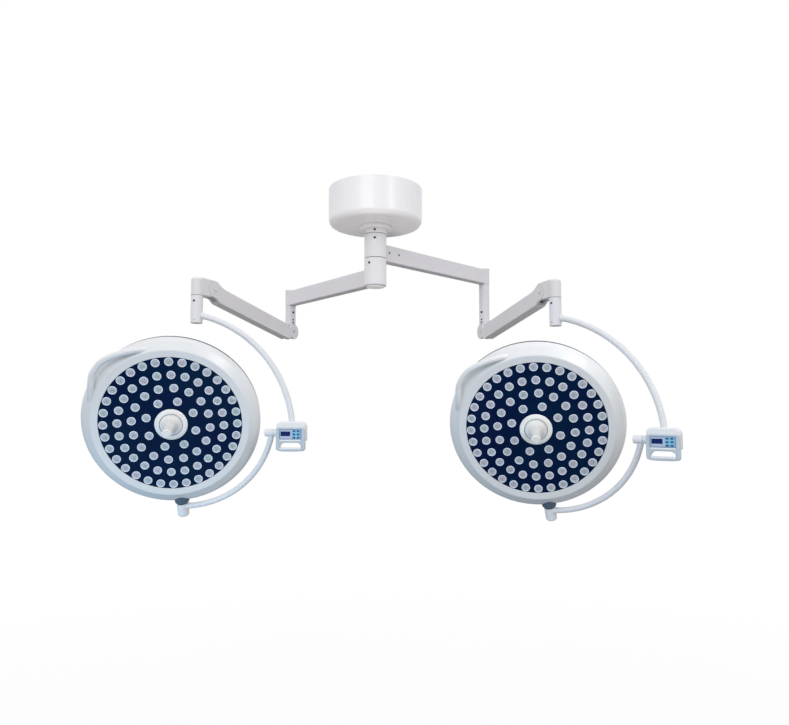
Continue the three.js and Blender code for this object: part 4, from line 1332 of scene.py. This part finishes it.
def handle_base(unit):
    """The round base with the handle's socket, and a dark ring laid in its groove as painted shade."""
    back = DISC_Y - 0.3
    y = HANDLE_BASE_Y
    profile = rounded([
        (0, back),
        (HANDLE_BASE_RADIUS, back),
        (HANDLE_BASE_RADIUS, back - 4.0, 2.2),
        (56, y + 2.2, 6),
        (47.5, y + 1.2, 0.8),
        (46.2, y + 3.2, 0.5),
        (45, y + 3.2, 0.5),
        (43.8, y + 0.4, 0.8),
        (SOCKET_RADIUS, y),
        (SOCKET_RADIUS, -92, 1),
        (0, -92),
    ], False, 4)
    unit.put("handle_mount", lathe(profile, "Y", 96), "head", "handle_plastic", "handle_base")
    # painted shade: a dark ring laid in the groove where shade falls
    ring = lathe([(45.1, y + 3.1), (45.1, y + 1.7), (46.6, y + 1.9), (46.3, y + 3.1)], "Y", 96)
    unit.put("handle_mount_ring", ring, "head", "gasket")


def sterile_handle(unit):
    """The removable trumpet-shaped handle, hollow where it sits on its socket."""
    root = HANDLE_BASE_Y - 0.6
    tip = HANDLE_TIP_Y
    bore = SOCKET_RADIUS + 0.6
    profile = rounded([
        (bore, root),
        (40, root, 1),
        (39.5, root - 2.5, 1.5),
        (30, root - 9, 22),
        (22.5, root - 31, 40),
        (18.6, root - 66, 30),
        (18.2, tip + 16, 2),
        (19.6, tip + 13, 2),
        (19.2, tip + 4, 4),
        (15, tip + 0.8, 1.2),
        (13.2, tip + 0.8, 0.6),
        (12.6, tip + 2, 0.6),
        (11.4, tip + 2, 0.6),
        (10.6, tip, 0.8),
        (0, tip),
        (0, -94),
        (bore, -94),
    ], steps=5)
    handle = lathe(split_at_axis(profile), "Y", 72)
    unit.put("handle_sleeve", handle, "handle", "handle_plastic", "sterile_handle")


def split_at_axis(profile):
    """Turns a closed profile that touches the axis into one that starts and ends on it."""
    start = max(i for i, (radius, _) in enumerate(profile) if radius < 1e-6)
    return profile[start:] + profile[:start]


def side_handle(unit):
    """The bent grab handle that leaves the rim, swings out and comes back."""
    # radius, angle and depth on the head
    stations = [
        (322, 100.5, -20),
        (330, 105, -33),
        (338, 109.5, -41),
        (349, 116.5, -46),
        (363, 125.5, -46),
        (367.5, 132.5, -44.5),
        (362, 140, -45),
        (347, 146, -44),
        (337, 150.5, -40),
        (329, 155, -32),
        (322, 159, -20),
    ]
    knots = []
    for radius, angle, y in stations:
        x, z = polar(radius, angle)
        knots.append(Vector((x, y, z)))
    path = catmull(knots, 8)
    count = len(path) - 1
    flare = [SIDE_HANDLE_RADIUS + 2.5 * abs(2 * i / count - 1) ** 4 for i in range(count + 1)]
    unit.put("rim_handle", tube(path, flare, 32), "head", "head_white", "side_handle")


def catmull(knots, steps):
    """A smooth path through the knots."""
    ends = [2 * knots[0] - knots[1], *knots, 2 * knots[-1] - knots[-2]]
    path = []
    for a, b, c, d in zip(ends, ends[1:], ends[2:], ends[3:]):
        for k in range(steps):
            t = k / steps
            linear = (c - a) * t
            square = (2 * a - 5 * b + 4 * c - d) * t ** 2
            cube = (3 * b - a - 3 * c + d) * t ** 3
            path.append(b + (linear + square + cube) / 2)
    return path + [knots[-1]]


def swivel_collar(unit):
    """The slate collar under the rim, cut to the head's form, with the stem that turns in the cup."""
    bottom = CUP_TOP + 0.6 - HEAD_RISE
    profile = rounded([
        (0, bottom + 60),
        (30, bottom + 60),
        (31, bottom + 30),
        (30, bottom + 8, 12),
        (22, bottom, 4),
        (STEM_RADIUS, bottom),
        (STEM_RADIUS, bottom - 38, 1),
        (0, bottom - 38),
    ], False, 6)
    envelope = lathe([
        (0, LIP_Y - 0.3),
        (LIP_RADIUS, LIP_Y - 0.3),
        (346.5, -23.3),
        (HEAD_RADIUS + 0.3, -4),
        (HEAD_RADIUS + 0.3, RIM_BAND_Y),
        (350.4, RIM_BAND_Y + 7.3),
        (290.4, 43.4),
        (150.4, 52.4),
        (0, 55.3),
    ], "Y", FINE)
    collar = cut(lathe(profile), envelope)
    unit.put("rim_collar", collar, "head", "slate_plastic", "swivel_collar")


# ---- the object


def build_light():
    ceiling_plate()
    ceiling_cover()
    cover_ring()
    hub()
    dice = random.Random(11)
    arms = (extension_arm, arm_screws, drop_tube, spring_arm, spring_and_pins, link_rod, knuckle)
    yokes = (yaw_bearing, upper_yoke, box_housing, control_box, control_panel, lower_yoke)
    heads = (rear_shell, front_bezel, front_plate, handle_base, sterile_handle, side_handle, swivel_collar)
    for unit in [Unit(side) for side in SIDES]:
        for build in (*arms, *yokes, *heads):
            build(unit)
        lenses(unit, dice)


# ---- room, lights and camera

FLOOR_Z = -2.75
FLOOR_REACH = 40
FLOOR_BOUNCE = (0.27, 0.265, 0.26)
CAMERA_PLACE = (0.083, -2.826, -0.956)
CAMERA_PITCH = 4.1
CAMERA_LENS = 30.11


def floor():
    """A wide pale floor that fades into the white background."""
    shader = Shader("pale floor")
    seen = shader.add("ShaderNodeLightPath").outputs["Is Camera Ray"]
    shader.set(Base_Color=shader.blend(seen, FLOOR_BOUNCE, (0.93, 0.93, 0.935)), Roughness=0.6)
    shader.set(Normal=shader.bump(shader.noise(40), 0.05, 0.001))
    glow = shader.add("ShaderNodeEmission", Color=(1.0, 1.0, 1.0), Strength=1.0)
    depth = shader.add("ShaderNodeCameraData").outputs["View Distance"]
    mix = shader.add("ShaderNodeMixShader")
    fade = shader.span(depth, 0.55, 1.0, 2.0, 7.0)
    shader.feed(mix.inputs[0], shader.math("MULTIPLY", fade, seen))
    shader.tree.links.new(shader.surface.outputs[0], mix.inputs[1])
    shader.tree.links.new(glow.outputs[0], mix.inputs[2])
    shader.tree.links.new(mix.outputs[0], shader.tree.nodes["Material Output"].inputs["Surface"])
    mesh = bpy.data.meshes.new("floor")
    corners = [(-1, -1), (1, -1), (1, 1), (-1, 1)]
    corners = [(x * FLOOR_REACH, y * FLOOR_REACH, FLOOR_Z) for x, y in corners]
    mesh.from_pydata(corners, [], [(0, 1, 2, 3)])
    mesh.materials.append(shader.material)
    plane = bpy.data.objects.new("floor", mesh)
    bpy.context.scene.collection.objects.link(plane)
    plane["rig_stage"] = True


def world():
    """White for the camera; for the object a bright ceiling that darkens and warms below."""
    sky = bpy.data.worlds.new("studio")
    bpy.context.scene.world = sky
    sky.use_nodes = True
    tree = sky.node_tree
    background = tree.nodes["Background"]
    place = tree.nodes.new("ShaderNodeTexCoord")
    split = tree.nodes.new("ShaderNodeSeparateXYZ")
    tree.links.new(place.outputs["Generated"], split.inputs[0])
    ramp = tree.nodes.new("ShaderNodeValToRGB")
    height = tree.nodes.new("ShaderNodeMapRange")
    height.inputs["From Min"].default_value = -1.0
    tree.links.new(split.outputs["Z"], height.inputs["Value"])
    tree.links.new(height.outputs["Result"], ramp.inputs["Fac"])
    stops = ramp.color_ramp.elements
    stops[0].position, stops[0].color = 0.0, (0.22, 0.22, 0.225, 1)
    stops[1].position, stops[1].color = 1.0, (0.95, 0.95, 0.975, 1)
    middle = stops.new(0.5)
    middle.color = (0.88, 0.88, 0.89, 1)
    rays = tree.nodes.new("ShaderNodeLightPath")
    white = tree.nodes.new("ShaderNodeMix")
    white.data_type = "RGBA"
    white.inputs[7].default_value = (1, 1, 1, 1)
    tree.links.new(rays.outputs["Is Camera Ray"], white.inputs["Factor"])
    tree.links.new(ramp.outputs["Color"], white.inputs[6])
    tree.links.new(white.outputs[2], background.inputs["Color"])


def softbox(name, place, target, size, power, colour=(1, 1, 1)):
    data = bpy.data.lights.new(name, "AREA")
    data.shape = "RECTANGLE"
    data.size, data.size_y = size
    data.energy = power
    data.color = colour
    lamp = bpy.data.objects.new(name, data)
    lamp.location = place
    aim = Vector(target) - Vector(place)
    lamp.rotation_euler = aim.to_track_quat("-Z", "Y").to_euler()
    bpy.context.scene.collection.objects.link(lamp)
    return lamp


def lights():
    """Two softboxes for everything, a blue card and a fill for the heads, a warm fill for the cover."""
    heads = (0, 0.2, -1.1)
    cover = (0, 0, -0.15)
    softbox("key softbox", (-1.4, -4.2, 1.2), (0, 0, -0.7), (2.6, 1.6), 36)
    softbox("side softbox", (2.6, -3.2, 0.6), (0, 0, -0.6), (0.9, 1.6), 18)
    blue = softbox("blue floor card", (-1.2, -0.9, -2.6), heads, (3.2, 1.4), 24, (0.30, 0.66, 1.0))
    light_only(blue, ("_head", "_fork", "_yoke", "_handle"))
    fill = softbox("head fill", (2.2, -2.4, 1.4), heads, (1.4, 1.4), 38)
    light_only(fill, ("_head",))
    warm = softbox("warm cover fill", (0, -0.9, -1.9), cover, (1.8, 1.0), 12, (1.0, 0.95, 0.88))
    light_only(warm, ("ceiling_mount",))


def light_only(lamp, endings):
    """Lets a lamp light only the bodies whose names end in one of these ways."""
    lit = bpy.data.collections.new("lit by " + lamp.name)
    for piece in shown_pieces():
        if piece["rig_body"].endswith(endings):
            lit.objects.link(piece)
    lamp.light_linking.receiver_collection = lit


def camera():
    data = bpy.data.cameras.new("camera")
    data.lens = CAMERA_LENS
    data.sensor_width = 36
    eye = bpy.data.objects.new("camera", data)
    eye.location = CAMERA_PLACE
    eye.rotation_euler = (math.radians(90 + CAMERA_PITCH), 0, 0)
    bpy.context.scene.collection.objects.link(eye)
    bpy.context.scene.camera = eye


build_light()
floor()
world()
lights()
camera()
bpy.context.scene.view_settings.view_transform = "Standard"
